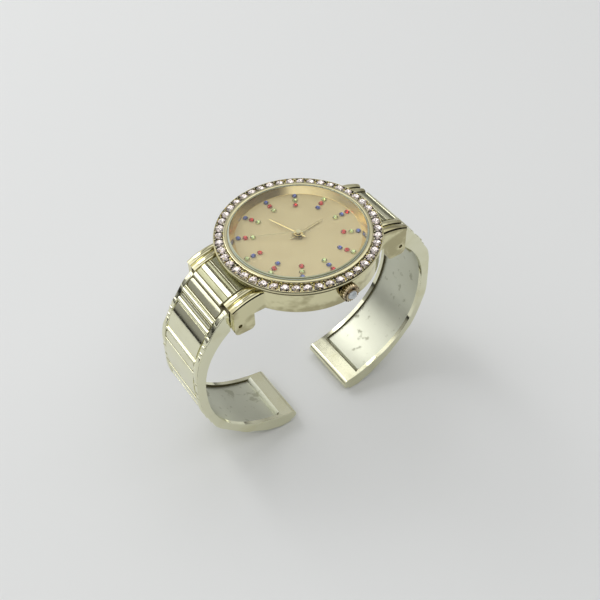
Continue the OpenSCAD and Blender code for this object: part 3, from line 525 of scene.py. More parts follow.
def slab(outlines, x, rounding=0, segments=2):
    """A side-view outline in (y, z), with any holes after it, thickened from x[0] to x[1]."""
    shape = bmesh.new()
    rims = []
    for outline in outlines:
        points = [shape.verts.new((x[0], y, z)) for y, z in outline]
        rims += [shape.edges.new((points[i - 1], points[i])) for i in range(len(points))]
    if len(outlines) == 1:
        faces = [shape.faces.new(points)]
    else:
        faces = of_kind(bmesh.ops.triangle_fill(shape, edges=rims, use_beauty=True), bmesh.types.BMFace)
    thicken(shape, faces, (x[1] - x[0], 0, 0))
    if rounding:
        soften(shape, rounding, segments, corner=45)
    return shape


def arc(centre, radius, start, end, steps):
    """Points of an arc in side view, from start to end degrees."""
    angles = [radians(start + (end - start) * i / steps) for i in range(steps + 1)]
    return [(centre[0] + radius * cos(a), centre[1] + radius * sin(a)) for a in angles]


def angle_at(y, centre, radius):
    """The angle in degrees at which a circle in side view passes y."""
    return degrees(acos((y - centre[0]) / radius))


print("flat blocks are cut into short lengths, slabs are side outlines given a thickness")

# %% [markdown]
# ## Case, lugs and end links
# Each pair of lugs is four rounded ridges that sweep down from the case, with a ribbed end link
# between them. The outer ridges stand on ears that hold the hinge pin. The ridges are swept, with a
# flat underside that leaves the arm room to open. The ears and the link's body are side outlines
# given a thickness.

# %% Case and lug sizes
CASE_R, CASE_LOW, CASE_TOP, CASE_EDGE = 19.2, 1.2, 7.4, 0.4
CHAMBER_R, SEAT_Z, RIM_R = 15.2, 6.4, 16.55
LUG_X, EAR_X, LINK_X = 10.5, 8.7, 6.2
RIDGE_R, RIDGE_FULLNESS, RIDGE_UNDERSIDE = (LUG_X - LINK_X) / 4, 0.9, -0.12
LUG_ARC, LUG_ARC_R, LINK_FACE_R = (16.6, -10.76), 17.4, 16.9
LUG_START, LUG_LOW, LUG_ROOT = 15.6, 1.3, 18.6
EAR_IN, EAR_OUT, EAR_LOW, EAR_CORNER = 19.0, 24.3, -3.3, 1.3
HINGE, PIN_R, PIN_X = (22.8, -0.7), 0.5, 9.9
LINK_END, POCKET_R, POCKET_FROM = 25.2, 4.6, 155
RIDGE_ARC_R = LUG_ARC_R - RIDGE_R
SLIP = 0.02
print("case", 2 * CASE_R, "mm across, lugs", 2 * LUG_X, "mm wide")


# %% Lugs
def swept_ridge(x):
    """A ridge swept round the lugs' arc, its end rounded."""
    shape = bmesh.new()
    start, end = [angle_at(y, LUG_ARC, RIDGE_ARC_R) for y in (LUG_START, EAR_OUT - 0.1)]
    bmesh.ops.create_circle(shape, cap_ends=False, segments=48, radius=RIDGE_R)
    for corner in shape.verts:
        full = [copysign(RIDGE_R * abs(c / RIDGE_R) ** RIDGE_FULLNESS, c) for c in corner.co.xy]
        corner.co.xy = full[0], max(full[1], RIDGE_UNDERSIDE)
    shift(shape, (x, LUG_ARC[0] + RIDGE_ARC_R, LUG_ARC[1]))
    pivot = (0, *LUG_ARC)
    turn(shape, radians(start), "X", pivot)
    bmesh.ops.spin(shape, geom=whole(shape), cent=pivot, axis=(1, 0, 0),
                   angle=radians(end - start), steps=36)
    close_ends(shape)
    soften(shape, 0.4, 5, corner=60)
    return shape


def lug_outline(radius, end_y, steps):
    """The arc over a lug or link, from its far end back into the case."""
    start, end = [angle_at(y, LUG_ARC, radius) for y in (end_y, LUG_START)]
    return arc(LUG_ARC, radius, start, end, steps)


def pocket_outline(end_y, steps):
    """From inside the case along its underside, then round the pocket of the arm's head."""
    return [(LUG_START, LUG_LOW), (LUG_ROOT, LUG_LOW)] + arc(
        HINGE, POCKET_R, POCKET_FROM, angle_at(end_y, HINGE, POCKET_R), steps)


def lug_pair():
    shape = bmesh.new()
    over = lug_outline(RIDGE_ARC_R, EAR_OUT, 24)
    corner_z = EAR_LOW + EAR_CORNER
    ear = ([(LUG_START, LUG_LOW), (EAR_IN, LUG_LOW)]
           + arc((EAR_IN + EAR_CORNER, corner_z), EAR_CORNER, 180, 270, 8)
           + arc((EAR_OUT - EAR_CORNER, corner_z), EAR_CORNER, 270, 360, 8) + over)
    hole = arc(HINGE, PIN_R + SLIP, 0, 360, 28)[:-1]
    root = pocket_outline(EAR_OUT, 20) + over
    for side in (-1, 1):
        for x in (LUG_X - RIDGE_R, LINK_X + RIDGE_R):
            merge(shape, swept_ridge(side * x))
        merge(shape, slab([ear, hole], between(side, EAR_X + SLIP, LUG_X - 0.14), 0.1, 3))
        merge(shape, slab([root], between(side, LINK_X + SLIP, EAR_X - SLIP), 0.08, 2))
    merge(shape, end_link())
    return shape


def end_link():
    """The link's body, whose face between the ribs and whose end are painted dark as shade."""
    half = LINK_X - 0.06
    outline = pocket_outline(LINK_END, 24) + lug_outline(LINK_FACE_R, LINK_END, 30)
    shape = slab([outline], (-half, half), 0.1, 3)
    for face in shape.faces:
        middle = face.calc_center_median()
        out = hypot(middle.y - LUG_ARC[0], middle.z - LUG_ARC[1])
        if middle.y > LINK_END - 0.15 or (middle.y > CASE_R and abs(out - LINK_FACE_R) < 0.05):
            face.material_index = 1
    return shape


case = both_ends(lug_pair())
merge(case, turned([
    (CHAMBER_R, CASE_LOW), (CASE_R - CASE_EDGE, CASE_LOW), (CASE_R - 0.1, CASE_LOW + 0.12),
    (CASE_R, CASE_LOW + CASE_EDGE), (CASE_R, CASE_TOP - CASE_EDGE), (CASE_R - 0.08, CASE_TOP - 0.15),
    (CASE_R - 0.25, CASE_TOP), (RIM_R, CASE_TOP), (RIM_R, SEAT_Z), (CHAMBER_R, SEAT_Z)]))
make_piece("case_and_lugs", case, [case_gold, painted_groove_shade], "case", "case_gold", "case_middle")

# %% [markdown]
# A dark ring in the seam under the bezel is painted shadow. The end link carries polished ribs, with
# satin ones between them whose gold is painted dark as shade, so that the polished ones stand out.

# %% Seam and ribs
SEAM_LOW, SEAM_TOP = CASE_TOP - 0.74, CASE_TOP - 0.2
# Painted shadow: a dark ring in the seam under the bezel's overhang.
seam = turned([(CASE_R - 0.2, SEAM_LOW - 0.04), (CASE_R + 0.02, SEAM_LOW), (CASE_R + 0.02, SEAM_TOP),
               (CASE_R - 0.2, SEAM_TOP + 0.04)])
make_piece("case_seam_painted_shadow", seam, [painted_groove_shade], "case", "case_gold")

# Each rib: from y, to y, rise, corner, edge and crown
POLISHED_RIBS = [(20.34, 20.62, 0.13, 0.05, 0.06, 0.02), (21.55, 23.0, 0.14, 0.25, 0.12, 0.05),
                 (24.26, 25.3, 0.14, 0.35, 0.16, 0.12)]
SATIN_RIBS = [(18.2, 20.1, 0.06, 0.05, 0.03, 0.0), (20.86, 21.40, 0.05, 0.05, 0.03, 0.0),
              (23.06, 24.16, 0.05, 0.05, 0.04, 0.0)]
link_curve = SideCurve(arc(LUG_ARC, LINK_FACE_R, 95, 50, 120))


def ribs(rows):
    shape = bmesh.new()
    half = LINK_X - 0.12
    for start, end, rise, corner, edge, crown in rows:
        span = (link_curve.passing(start), link_curve.passing(end))
        rib = flat_block((-half, half), span, (-0.3, rise), corner, edge, crown, step=0.12)
        merge(shape, link_curve.lay(rib))
    return both_ends(shape)


make_piece("end_link_ribs", ribs(POLISHED_RIBS), [bracelet_gold], "case", "case_gold")
make_piece("end_link_satin_ribs", ribs(SATIN_RIBS), [satin_gold_painted_shade], "case", "case_gold")

# %% [markdown]
# The hinge pins are plain steel. They end a little inside their holes, which therefore look dark.

# %% Hinge pins
def pin():
    shape = rod(PIN_R, 2 * PIN_X, 32, 0.08, 2)
    shift(shape, (0, *HINGE))
    return shape


pin_steel = plated("pin_steel", (0.20, 0.18, 0.13), (0.12, 0.11, 0.08), 0.3, 0.001)
for end, hour in ENDS.items():
    make_piece("pin_" + end, at_end(pin(), end), [pin_steel], "case", "steel", "hinge_pin_" + hour)

# %% [markdown]
# ## Bezel
# The bezel is turned: an inner rim, a channel for the stones and a thin outer lip. Small prongs
# stand in the gaps between the stones, two in each gap, with the paler finish of the bracelet,
# because their rounded tops catch the light.

# %% Bezel ring and prongs
BEZEL_R, BEZEL_TOP, BEZEL_IN, SPIGOT_R = 20.0, 9.06, 16.5, 18.85
LIP_Z = BEZEL_TOP - 0.6
CHANNEL_IN, CHANNEL_OUT, CHANNEL_Z = 17.5, 19.72, 7.85
STONES, STONES_R, STONE_R, GIRDLE_Z = 46, 18.61, 1.12, 8.2
PRONG_R, PRONG_H, PRONG_Z = 0.2, 0.9, GIRDLE_Z - 0.12
PRONG_ROWS = (CHANNEL_IN + 0.33, CHANNEL_OUT - 0.27)


def prong():
    shape = bmesh.new()
    bmesh.ops.create_cone(shape, cap_ends=True, segments=8, radius1=PRONG_R, radius2=PRONG_R, depth=PRONG_H)
    round_edges(shape, [e for e in shape.edges if all(v.co.z > 0 for v in e.verts)], 0.09, 2)
    for face in shape.faces:
        face.material_index = 1
    return as_mesh("prong", shape)


bezel = turned([
    (BEZEL_IN, CASE_TOP), (SPIGOT_R, CASE_TOP), (SPIGOT_R, CASE_TOP + 0.2),
    (BEZEL_R - 0.2, CASE_TOP + 0.32), (BEZEL_R - 0.05, CASE_TOP + 0.4), (BEZEL_R, CASE_TOP + 0.5),
    (BEZEL_R, CASE_TOP + 0.6), (BEZEL_R - 0.20, LIP_Z), (BEZEL_R - 0.24, LIP_Z + 0.03),
    (CHANNEL_OUT, LIP_Z), (CHANNEL_OUT, CHANNEL_Z), (CHANNEL_IN, CHANNEL_Z),
    (CHANNEL_IN, BEZEL_TOP - 0.2), (CHANNEL_IN - 0.06, BEZEL_TOP - 0.06), (CHANNEL_IN - 0.2, BEZEL_TOP),
    (BEZEL_IN + 0.25, BEZEL_TOP), (BEZEL_IN + 0.08, BEZEL_TOP - 0.06), (BEZEL_IN, BEZEL_TOP - 0.2)])
prong_mesh = prong()
for i in range(STONES):
    spin = Matrix.Rotation(tau * (i + 0.5) / STONES - pi / 2, 4, "Z")
    for r in PRONG_ROWS:
        add_copy(bezel, prong_mesh, spin @ Matrix.Translation((r, 0, PRONG_Z)))
make_piece("bezel_ring", bezel, [bezel_gold, bracelet_gold], "case", "bezel_gold", "bezel")

# %% [markdown]
# ## Cut stones
# A round stone is cut with flat facets: an eight-sided table, two rings of facets round it, a thin
# girdle and a pavilion below. All its corners lie on a convex body, so the convex hull operator
# finds the facets from five rings of points, and flat neighbours are dissolved into one facet.

# %% A cut stone
def facet(shape, flat_within):
    """Wraps the shape's points in a hull and joins the faces that are flat within some degrees."""
    bmesh.ops.convex_hull(shape, input=shape.verts[:])
    bmesh.ops.dissolve_limit(shape, angle_limit=radians(flat_within), verts=shape.verts[:],
                             edges=shape.edges[:])


def cut_stone(radius, low, girdle, table):
    shape = bmesh.new()
    belt = girdle + 0.07 * radius
    rings = [(8, 0, 0.10, low), (16, 0, 1.0, girdle), (16, 0, 1.0, belt),
             (8, 0.5, 0.82, belt + (table - girdle) * 0.55), (8, 0, 0.56, table)]
    for sides, turns, share, z in rings:
        spin = Matrix.Rotation(tau * turns / sides, 4, "Z")
        bmesh.ops.create_circle(shape, segments=sides, radius=share * radius,
                                matrix=Matrix.Translation((0, 0, z)) @ spin)
    bmesh.ops.delete(shape, geom=shape.edges[:], context="EDGES_FACES")
    facet(shape, 1.5)
    face_outwards(shape)
    for face in shape.faces:
        face.material_index = 1 if face.normal.z < -0.2 else 0
    return as_mesh("stone", shape)


def set_stones(name, stone, girdle, spots, finishes, slot, node):
    """Sets a stone at each (angle, radius), each turned and leaning a little in its own way."""
    shape = bmesh.new()
    pivot = Matrix.Translation((0, 0, girdle))
    for i, (angle, radius) in enumerate(spots):
        lean = Matrix.Rotation(radians(7), 4, Vector((cos(2.4 * i), sin(2.4 * i), 0)))
        place = Matrix.Rotation(angle, 4, "Z") @ Matrix.Translation((radius, 0, 0))
        spin = pivot @ lean @ Matrix.Rotation(1.7 * i, 4, "Z") @ pivot.inverted()
        add_copy(shape, stone, place @ spin)
    make_piece(name, shape, finishes, "case", slot, node, sharp=5)


bezel_stone = cut_stone(STONE_R - SLIP, CHANNEL_Z + 0.04, GIRDLE_Z, GIRDLE_Z + 0.46)
set_stones("bezel_stones", bezel_stone, GIRDLE_Z,
           [(tau * i / STONES - pi / 2, STONES_R) for i in range(STONES)],
           clear_stone, "clear_stone", "bezel_gems")

# %% [markdown]
# Three small stones mark each hour, and their colours change places from hour to hour. Each list
# names the hours whose outer, middle and inner stone has that colour.

# %% Dial stones
DIAL_Z, DIAL_GIRDLE_Z, DIAL_TABLE_Z = 6.8, 7.0, 7.29
ROWS = (14.1, 12.45, 10.65)
DIAL_STONE_R = 0.65
COLOUR_HOURS = {
    "red": ((0, 3), (2, 5, 7, 8, 9, 11), (1, 4, 6, 10)),
    "green": ((2, 5, 6, 11), (1, 4, 10), (0, 3, 7, 8, 9)),
    "blue": ((1, 4, 7, 8, 9, 10), (0, 3, 6), (2, 5, 11)),
}
dial_stone = cut_stone(DIAL_STONE_R, DIAL_Z + 0.01, DIAL_GIRDLE_Z, DIAL_TABLE_Z)
for colour, finish in (("red", red_stone), ("green", green_stone), ("blue", blue_stone)):
    spots = [(pi / 2 - tau * hour / 12, radius)
             for radius, hours in zip(ROWS, COLOUR_HOURS[colour]) for hour in hours]
    set_stones("stones_" + colour, dial_stone, DIAL_GIRDLE_Z, spots, finish, colour + "_stone",
               "dial_stones_" + colour)

# %% [markdown]
# ## Crystal and sloped ring
# The crystal is a flat disc of mineral glass with a bevelled edge, which is ground dull and shows
# as a thin greenish line. Shadow rays go straight through, because light bent by glass reaches the
# dial too rarely to render cleanly. The sloped ring round the dial is polished, and the dial's warm
# reflection is painted into its colour.

# %% Crystal
CRYSTAL_R, CRYSTAL_Z, CRYSTAL_TOP, CRYSTAL_BEVEL = 16.3, 8.5, 9.5, 0.18


def clear_glass(name, colour, index):
    finish = Finish(name, colour, {"Transmission Weight": 1.0, "IOR": index})
    finish.roughen(0.015 * finish.steps(finish.noise(6, 3), 0.5, 0.8))
    finish.show(finish.node("MixShader", None, {
        0: finish.node("LightPath", output="Is Shadow Ray"),
        1: finish.surface,
        2: finish.node("BsdfTransparent")}))
    return finish.material


def ground_edge(name, colour, pale):
    ground = Finish(name, colour, {"Coat Weight": 0.6, "Coat Roughness": 0.1})
    cutter_marks = ground.noise(0.12, 3)
    ground.paint(cutter_marks, colour, pale)
    ground.roughen(0.25 + 0.2 * cutter_marks)
    return ground.material


disc = turned([(0, CRYSTAL_Z), (CRYSTAL_R - 0.05, CRYSTAL_Z), (CRYSTAL_R, CRYSTAL_Z + 0.05),
               (CRYSTAL_R, CRYSTAL_TOP - CRYSTAL_BEVEL), (CRYSTAL_R - CRYSTAL_BEVEL, CRYSTAL_TOP),
               (0, CRYSTAL_TOP)])
for face in disc.faces:
    steep = abs(face.normal.z)
    if face.calc_center_median().xy.length > CRYSTAL_R - 0.2 and steep < 0.9:
        face.material_index = 1 if steep < 0.2 else 2
# The wall's ground finish is a darker copy of the bevel's, its colour painted dark as shade.
make_piece("crystal_disc", disc, [
    clear_glass("crystal_glass", (0.97, 1.0, 0.985), 1.5),
    ground_edge("ground_wall_painted_shade", (0.26, 0.26, 0.13), (0.36, 0.36, 0.20)),
    ground_edge("ground_bevel", (0.50, 0.54, 0.36), (0.62, 0.66, 0.46))],
    "case", "crystal_glass", "crystal", sharp=20)

# %% Sloped ring
RING_IN, RING_OUT, RING_TOP = 15.0, 16.5, CRYSTAL_Z - 0.01
ring = turned([(RING_IN, DIAL_Z), (RING_OUT, DIAL_Z), (RING_OUT, RING_TOP), (RING_OUT - 0.35, RING_TOP),
               (RING_IN + 0.05, DIAL_Z + 0.14), (RING_IN, DIAL_Z + 0.1)])
make_piece("dial_ring", ring, [flange_gold], "case", "flange_gold", "flange_ring")

# %% [markdown]
# ## Hands
# Each hand is a thin blade with a ridge down its middle, so that one side is bright and the other
# dark. A convex hull of its outline and the ridge gives those facets. The hubs are turned. The hour
# hand is the dullest of the three, and its gold is painted darker as shade.

# %% Hands
HAND_T = 0.12
# Each hand: body, length, tail, width, height, degrees from twelve, hub's radius and bore, finish
HANDS = {
    "hour": ("hours", 7.7, 2.4, 0.52, 7.15, 352, 1.5, 0.62, hand_gold_painted_shade),
    "minute": ("minutes", 9.0, 2.2, 0.44, 7.51, 250, 1.12, 0.40, hand_gold),
    "second": ("seconds", 10.2, 3.0, 0.2, 7.85, 207, 0.68, 0.0, pale_hand_gold),
}


def blade(length, tail, width, z, clock_angle):
    shape = bmesh.new()
    for x, share in ((-tail, 0.35), (0, 0.5), (length * 0.85, 0.4), (length, 0.04)):
        for side in (-1, 1):
            shape.verts.new((x, side * share * width, z))
    for x in (-tail + 0.15, length * 0.9):
        shape.verts.new((x, 0, z + HAND_T))
    facet(shape, 1)
    turn(shape, radians(90 - clock_angle), "Z")
    return shape


def hub(radius, bore, z, thick):
    return turned([(bore, z), (radius, z), (radius, z + 0.5 * thick), (radius - 0.3 * thick, z + thick),
                   (bore, z + thick)], steps=64)


for name, (body, length, tail, width, z, angle, radius, bore, finish) in HANDS.items():
    hand = blade(length, tail, width, z, angle)
    merge(hand, hub(radius, bore, z - 0.01, HAND_T + (0.02 if bore else 0.14)))
    make_piece(name + "_pointer", hand, [finish], body, "hand_gold", name + "_hand", sharp=15)

# %% [markdown]
# ## Crown
# The crown is a fluted outline drawn out along the stem, with its rims bevelled. A turned cup in
# its end holds a pale polished stone, whose dome is an arc of a large circle.

# %% Crown
STEM_Z = 5.3
CROWN_R, CROWN_X, CROWN_END, FLUTES = 2.2, 19.45, 21.3, 22
# One flute: shares of its width, and the radius there
FLUTE = ((0.10, 2.0), (0.22, 2.03), (0.34, 2.17), (0.42, CROWN_R), (0.5, CROWN_R + 0.01),
         (0.58, CROWN_R), (0.66, 2.17), (0.78, 2.03), (0.90, 2.0))
CUP_R, CUP_FLOOR, CUP_RIM = 1.6, CROWN_END + 0.05, CROWN_END + 0.3
CABOCHON_R, CABOCHON_H, CABOCHON_STEPS = 1.25, 0.75, 14


def to_stem(shape):
    """Stands a shape made for +Z along the stem."""
    turn(shape, pi / 2, "Y")
    shift(shape, (0, 0, STEM_Z))
    return shape


def fluted_crown():
    shape = bmesh.new()
    points = []
    for i in range(FLUTES):
        for share, r in FLUTE:
            angle = tau * (i + share) / FLUTES
            points.append(shape.verts.new((r * cos(angle), r * sin(angle), CROWN_X)))
    thicken(shape, [shape.faces.new(points)], (0, 0, CROWN_END - CROWN_X))
    rims = [e for e in shape.edges if abs(e.verts[0].co.z - e.verts[1].co.z) < SAME]
    round_edges(shape, rims, 0.2, 3)
    merge(shape, turned([(0, CROWN_END - 0.3), (CUP_R, CROWN_END - 0.3), (CUP_R, CUP_RIM - 0.12),
                         (CUP_R - 0.12, CUP_RIM), (CABOCHON_R, CUP_RIM), (CABOCHON_R, CUP_FLOOR),
                         (0, CUP_FLOOR)], steps=64))
    return to_stem(shape)


def cabochon():
    r = CABOCHON_R - 0.1
    dome = (r * r + CABOCHON_H ** 2) / (2 * CABOCHON_H)
    centre = CUP_FLOOR + 0.25 + CABOCHON_H - dome
    reach = asin(r / dome)
    angles = [reach * (1 - i / CABOCHON_STEPS) for i in range(CABOCHON_STEPS + 1)]
    curve = [(dome * sin(a), centre + dome * cos(a)) for a in angles]
    return to_stem(turned([(0, CUP_FLOOR + 0.01), (r, CUP_FLOOR + 0.01)] + curve, steps=64))


stone = Finish("cabochon_stone", (0.58, 0.62, 0.64),
               {"Coat Weight": 1.0, "Coat Roughness": 0.02, "IOR": 1.9})
cloud = stone.noise(1.1, 3)
stone.paint(cloud, (0.42, 0.47, 0.50), (0.72, 0.76, 0.78))
stone.roughen(0.08 + 0.08 * cloud)
make_piece("fluted_crown", fluted_crown(), [crown_gold], "crown", "crown_gold", "crown")
make_piece("crown_stone", cabochon(), [stone.material], "crown", "cabochon_stone", "crown_cabochon")

# %% [markdown]
# ## The arms' curves
# An arm's inner face follows the wrist opening, a rounded square in side view. Its outside is a
# chain of slightly crowned links that thicken towards the hinge and the tip. The curve below is the
# floor between the rails, from the round head under the lugs down to the tip.

# %% Wrist opening and the outer curve
WRIST_HALF, WRIST_Z, WRIST_UP, WRIST_DOWN, WRIST_POWER = 32.6, -20.0, 23.5, 25.8, 2.3
# Where the links meet, in degrees round the opening, and how much thicker the arm is there
LINK_AT = [42.3, 37.3, 20, 13.5, -3, -9.5, -26, -32, -47, -53, -64, -72, -76.5]
LINK_MORE = [2.3, 1.7, 1, 0.6, 0.1, 0.05, 0, 0, 0.3, 0.7, 1.6, 2.2, 1.65]
LINK_MARKS, HEAD_MARKS, SLOPE_MARKS = 10, 14, 8
ARM_T, ARM_HALF, PANEL_X, FLOOR_DEPTH = 2.3, 8.4, 6.9, 0.35
HEAD_R, BARREL_R, TIP_R = 4.3, 1.9, 1.45


def wrist(t):
    """A point of the wrist opening, t degrees above its widest level."""
    def bend(v):
        return copysign(abs(v) ** (2 / WRIST_POWER), v)
    rise = WRIST_UP if t > 0 else WRIST_DOWN
    angle = radians(t)
    return Vector((WRIST_HALF * bend(cos(angle)), WRIST_Z + rise * bend(sin(angle))))


def into(t, depth):
    """The same point moved out into the arm."""
    step = (wrist(t + 0.5) - wrist(t - 0.5)).normalized()
    return wrist(t) + depth * Vector((step.y, -step.x))


def floor_points():
    """Points from the head to the tip, and at which (degrees, index) the links' marks stand."""
    depths = [ARM_T + more - FLOOR_DEPTH for more in LINK_MORE]
    floor_r = HEAD_R - FLOOR_DEPTH
    first = into(LINK_AT[0], depths[0])
    reach = first - Vector(HINGE)
    leave = degrees(atan2(reach.y, reach.x) + acos(floor_r / reach.length))
    points = [Vector(p) for p in arc(HINGE, floor_r, 105, leave, HEAD_MARKS)]
    points += [points[-1].lerp(first, i / SLOPE_MARKS) for i in range(1, SLOPE_MARKS)]
    marks = []
    for a, b, depth_a, depth_b in zip(LINK_AT, LINK_AT[1:], depths, depths[1:]):
        for k in range(LINK_MARKS):
            u = k / LINK_MARKS
            marks.append((a + (b - a) * u, len(points)))
            bulged = into(a + (b - a) * u, depth_a + (depth_b - depth_a) * u)
            straight = into(a, depth_a).lerp(into(b, depth_b), u)
            points.append((bulged + straight) / 2)
    marks.append((LINK_AT[-1], len(points)))
    points.append(into(LINK_AT[-1], depths[-1]))
    return points, marks


outer, link_marks = floor_points()
arm_curve = SideCurve(outer)


def along(t):
    """Length along the arm's curve at t degrees."""
    return float(np.interp(-t, [-at for at, index in link_marks],
                           [arm_curve.along[index] for at, index in link_marks]))


def along_y(y):
    """Length along the arm's curve where it first passes y."""
    return arm_curve.passing(y, link_marks[0][1] + 1)


print("arm curve is", round(float(arm_curve.along[-1]), 1), "mm long")

# %% [markdown]
# ## Arm bodies
# An arm is cast in one piece with its head, which turns under the lugs. The body is its side
# outline given a width. Its inner faces are inset twice: once for the rim, and once for the step
# down into the shallow recess, which ends before the thick block at the tip. The recess's long
# walls and the floor between the rails are painted dark as shade.

# %% Arm body
RECESS_FROM, RECESS_TO, RECESS_RIM, RECESS_DEPTH, RECESS_SLOPE = 30.0, -72.0, 1.1, 0.65, 0.1
# DARK is the index of the painted shade finish.
INSIDE, DARK = 1, 2
HEAD_X, HEAD_STEPS, BORE_R = 2.5, 24, PIN_R + 0.03
GROOVE_GAP = 0.2


def arm_body():
    tip = LINK_AT[-1]
    down = (wrist(tip - 0.5) - wrist(tip + 0.5)).normalized()
    out = Vector((-down.y, down.x))
    angles = [radians(a) for a in range(0, 180, 12)]
    end = [into(tip, TIP_R) + TIP_R * (cos(a) * out + sin(a) * down) for a in angles]
    inner = [wrist(t) for t in (tip + 0.001, *np.linspace(RECESS_TO, RECESS_FROM, 60), 33, 36, 39, 42, 44)]
    front = outer[HEAD_MARKS:]
    shape = slab([[tuple(p) for p in front + end + inner]], (-ARM_HALF, ARM_HALF))
    sink_recess(shape)
    soften(shape, 0.16, 3, corner=40)
    for face in shape.faces:
        middle = face.calc_center_median()
        wide = max(abs(v.co.x) for v in face.verts) > PANEL_X
        # Floor faces that show between the rails' parts get painted shade.
        if face.material_index == 0 and wide and abs(middle.x) < 0.1 and arm_curve.gap(middle) < GROOVE_GAP:
            face.material_index = DARK
    return shape


def sink_recess(shape):
    """Insets the inner faces of the arm and lowers them, with painted shade on the walls along the sides."""
    marks = [wrist(t) for t in np.linspace(RECESS_TO, RECESS_FROM, 180)]
    recess = []
    for face in shape.faces:
        middle = face.calc_center_median()
        if abs(middle.x) < 0.01 and min((mark - middle.yz).length for mark in marks) < 0.35:
            recess.append(face)
    bmesh.ops.inset_region(shape, faces=recess, thickness=RECESS_RIM, depth=0, use_even_offset=True)
    walls = bmesh.ops.inset_region(shape, faces=recess, thickness=RECESS_SLOPE, depth=-RECESS_DEPTH)
    for face in recess:
        face.material_index = INSIDE
    for face in walls["faces"]:
        middle = face.calc_center_median()
        top_end = abs(middle.x) < 0.01 and middle.z > WRIST_Z
        face.material_index = INSIDE if top_end else DARK


def arm_head():
    """The round head on both sides of the hinge spring, with the pin's bore."""
    shape = bmesh.new()
    bore = arc(HINGE, BORE_R, 0, 360, 28)[:-1]
    crest = [tuple(p) for p in outer[:HEAD_MARKS + 2]]
    under = tuple(wrist(41) + Vector((0.3, 0.3)))
    side_outline = arc(HINGE, BARREL_R, -52, -255, HEAD_STEPS) + crest + [under]
    for side in (-1, 1):
        merge(shape, slab([side_outline, bore], between(side, HEAD_X, ARM_HALF - 0.1), 0.1, 2))
    middle_outline = arc(HINGE, 1.6, 0, 105, 12) + crest + [under, tuple(wrist(44))]
    merge(shape, slab([middle_outline], (-HEAD_X, HEAD_X)))
    for face in shape.faces:
        # Faces along the groove of the curve get painted shade.
        if arm_curve.gap(face.calc_center_median()) < GROOVE_GAP:
            face.material_index = DARK
    return shape


print("arm outline has", len(outer), "outer points")

# %% [markdown]
# ## Link details of the arms
# Rails run down both sides, cut into bright lengths with pairs of beads between them. Broad and
# narrow bars cross between the rails, and each link's plate is a separate raised field with rounded
# corners and a dark groove round it.

# %% Sizes of the details
RAIL_RISE, RAIL_CROWN, RAIL_END = 0.5, 0.22, 0.25
# Stretches of rail between the beads, in degrees round the opening
RAIL_PARTS = [(36.2, 31.8), (25, 9), (-1, -14), (-24, -36), (-46, -56), (-60.5, -71)]
BEAD_R, BEAD_WIDTH, BEAD_SINK = 0.56, 1.16, 0.33
# Each bead: degrees round the opening, and height of its top over the inner face
BEADS = [(30.4, 3.5), (26.6, 3.2), (7, 2.4), (1, 2.2), (-16, 2.0), (-22, 2.0), (-38, 2.1), (-44, 2.2),
         (-58, 3.2)]
# Each bar: degrees round the opening, width, rise at its edges, and crown
BARS = [(43.9, 0.4, 0.22, 0.12), (42.3, 1.35, 0.12, 0.40), (37.3, 1.35, 0.12, 0.40), (20, 0.8, 0.2, 0.22),
        (13.5, 0.36, 0.22, 0.1), (-3, 0.75, 0.2, 0.2), (-9.5, 0.36, 0.22, 0.1), (-26, 0.8, 0.2, 0.2),
        (-32, 0.36, 0.22, 0.1), (-47, 0.8, 0.2, 0.2), (-53, 0.36, 0.22, 0.1), (-64, 0.8, 0.2, 0.2),
        (-71.5, 0.5, 0.2, 0.12)]
# Rise at the edges and crown of the raised plate before the first bar and after each bar
PLATES = [(0.2, 0.05), (0.2, 0.0), (0.2, 0.05), (0.06, 0.38), (0.2, 0.0), (0.16, 0.12), (0.2, 0.0),
          (0.16, 0.12), (0.2, 0.0), (0.16, 0.12), (0.2, 0.0), (0.16, 0.12), (0.2, 0.05), (0.2, 0.0)]
PLATE_FROM, RAIL_BASE_FROM, RAIL_FROM, RAIL_STOP = along_y(24.95), along_y(24.6), along_y(25.2), along(42.6)
CURVE_END = float(arm_curve.along[-1]) - RAIL_END
FOOT, PLATE_GAP, PLATE_LEAST = -0.2, 0.2, 0.8
MM_PER_DEGREE = 0.62
print(len(BARS), "bars across each arm,", len(BEADS), "beads down each side")


# %% Rails, beads, bars and plates
def bar_spans():
    """The start and end of each bar along the curve, from the lugs to the tip."""
    spans = []
    for t, width, rise, crown in BARS:
        middle = along(t) - max(0, t - LINK_AT[0]) * MM_PER_DEGREE
        spans.append((middle - width / 2, middle + width / 2, rise, crown))
    return spans


def bead(side, t, out):
    shape = rod(BEAD_R, BEAD_WIDTH, 24, 0.26, 4)
    shift(shape, (side * (PANEL_X + ARM_HALF) / 2, *into(t, out - BEAD_SINK)))
    return shape


def arm_rails():
    """The rails with their beads, and the bars that cross between them."""
    shape = bmesh.new()
    parts = [(RAIL_FROM, RAIL_STOP)] + [(along(a), along(b)) for a, b in RAIL_PARTS]
    for side in (-1, 1):
        base = flat_block(between(side, PANEL_X + 0.04, ARM_HALF - 0.06), (RAIL_BASE_FROM, CURVE_END),
                          (FOOT, 0.2), 0.1, 0.1)
        merge(shape, arm_curve.lay(base))
        for part in parts:
            rail = flat_block(between(side, PANEL_X + 0.1, ARM_HALF - 0.1), part,
                              (0, RAIL_RISE - RAIL_CROWN), 0.35, 0.24, RAIL_CROWN, step=0.3)
            merge(shape, arm_curve.lay(rail))
        for t, out in BEADS:
            merge(shape, bead(side, t, out))
    half = PANEL_X - 0.02
    for start, end, rise, crown in bar_spans():
        bar = flat_block((-half, half), (start, end), (FOOT, rise), 0.06, 0.06, crown, step=0.1)
        merge(shape, arm_curve.lay(bar))
    return shape


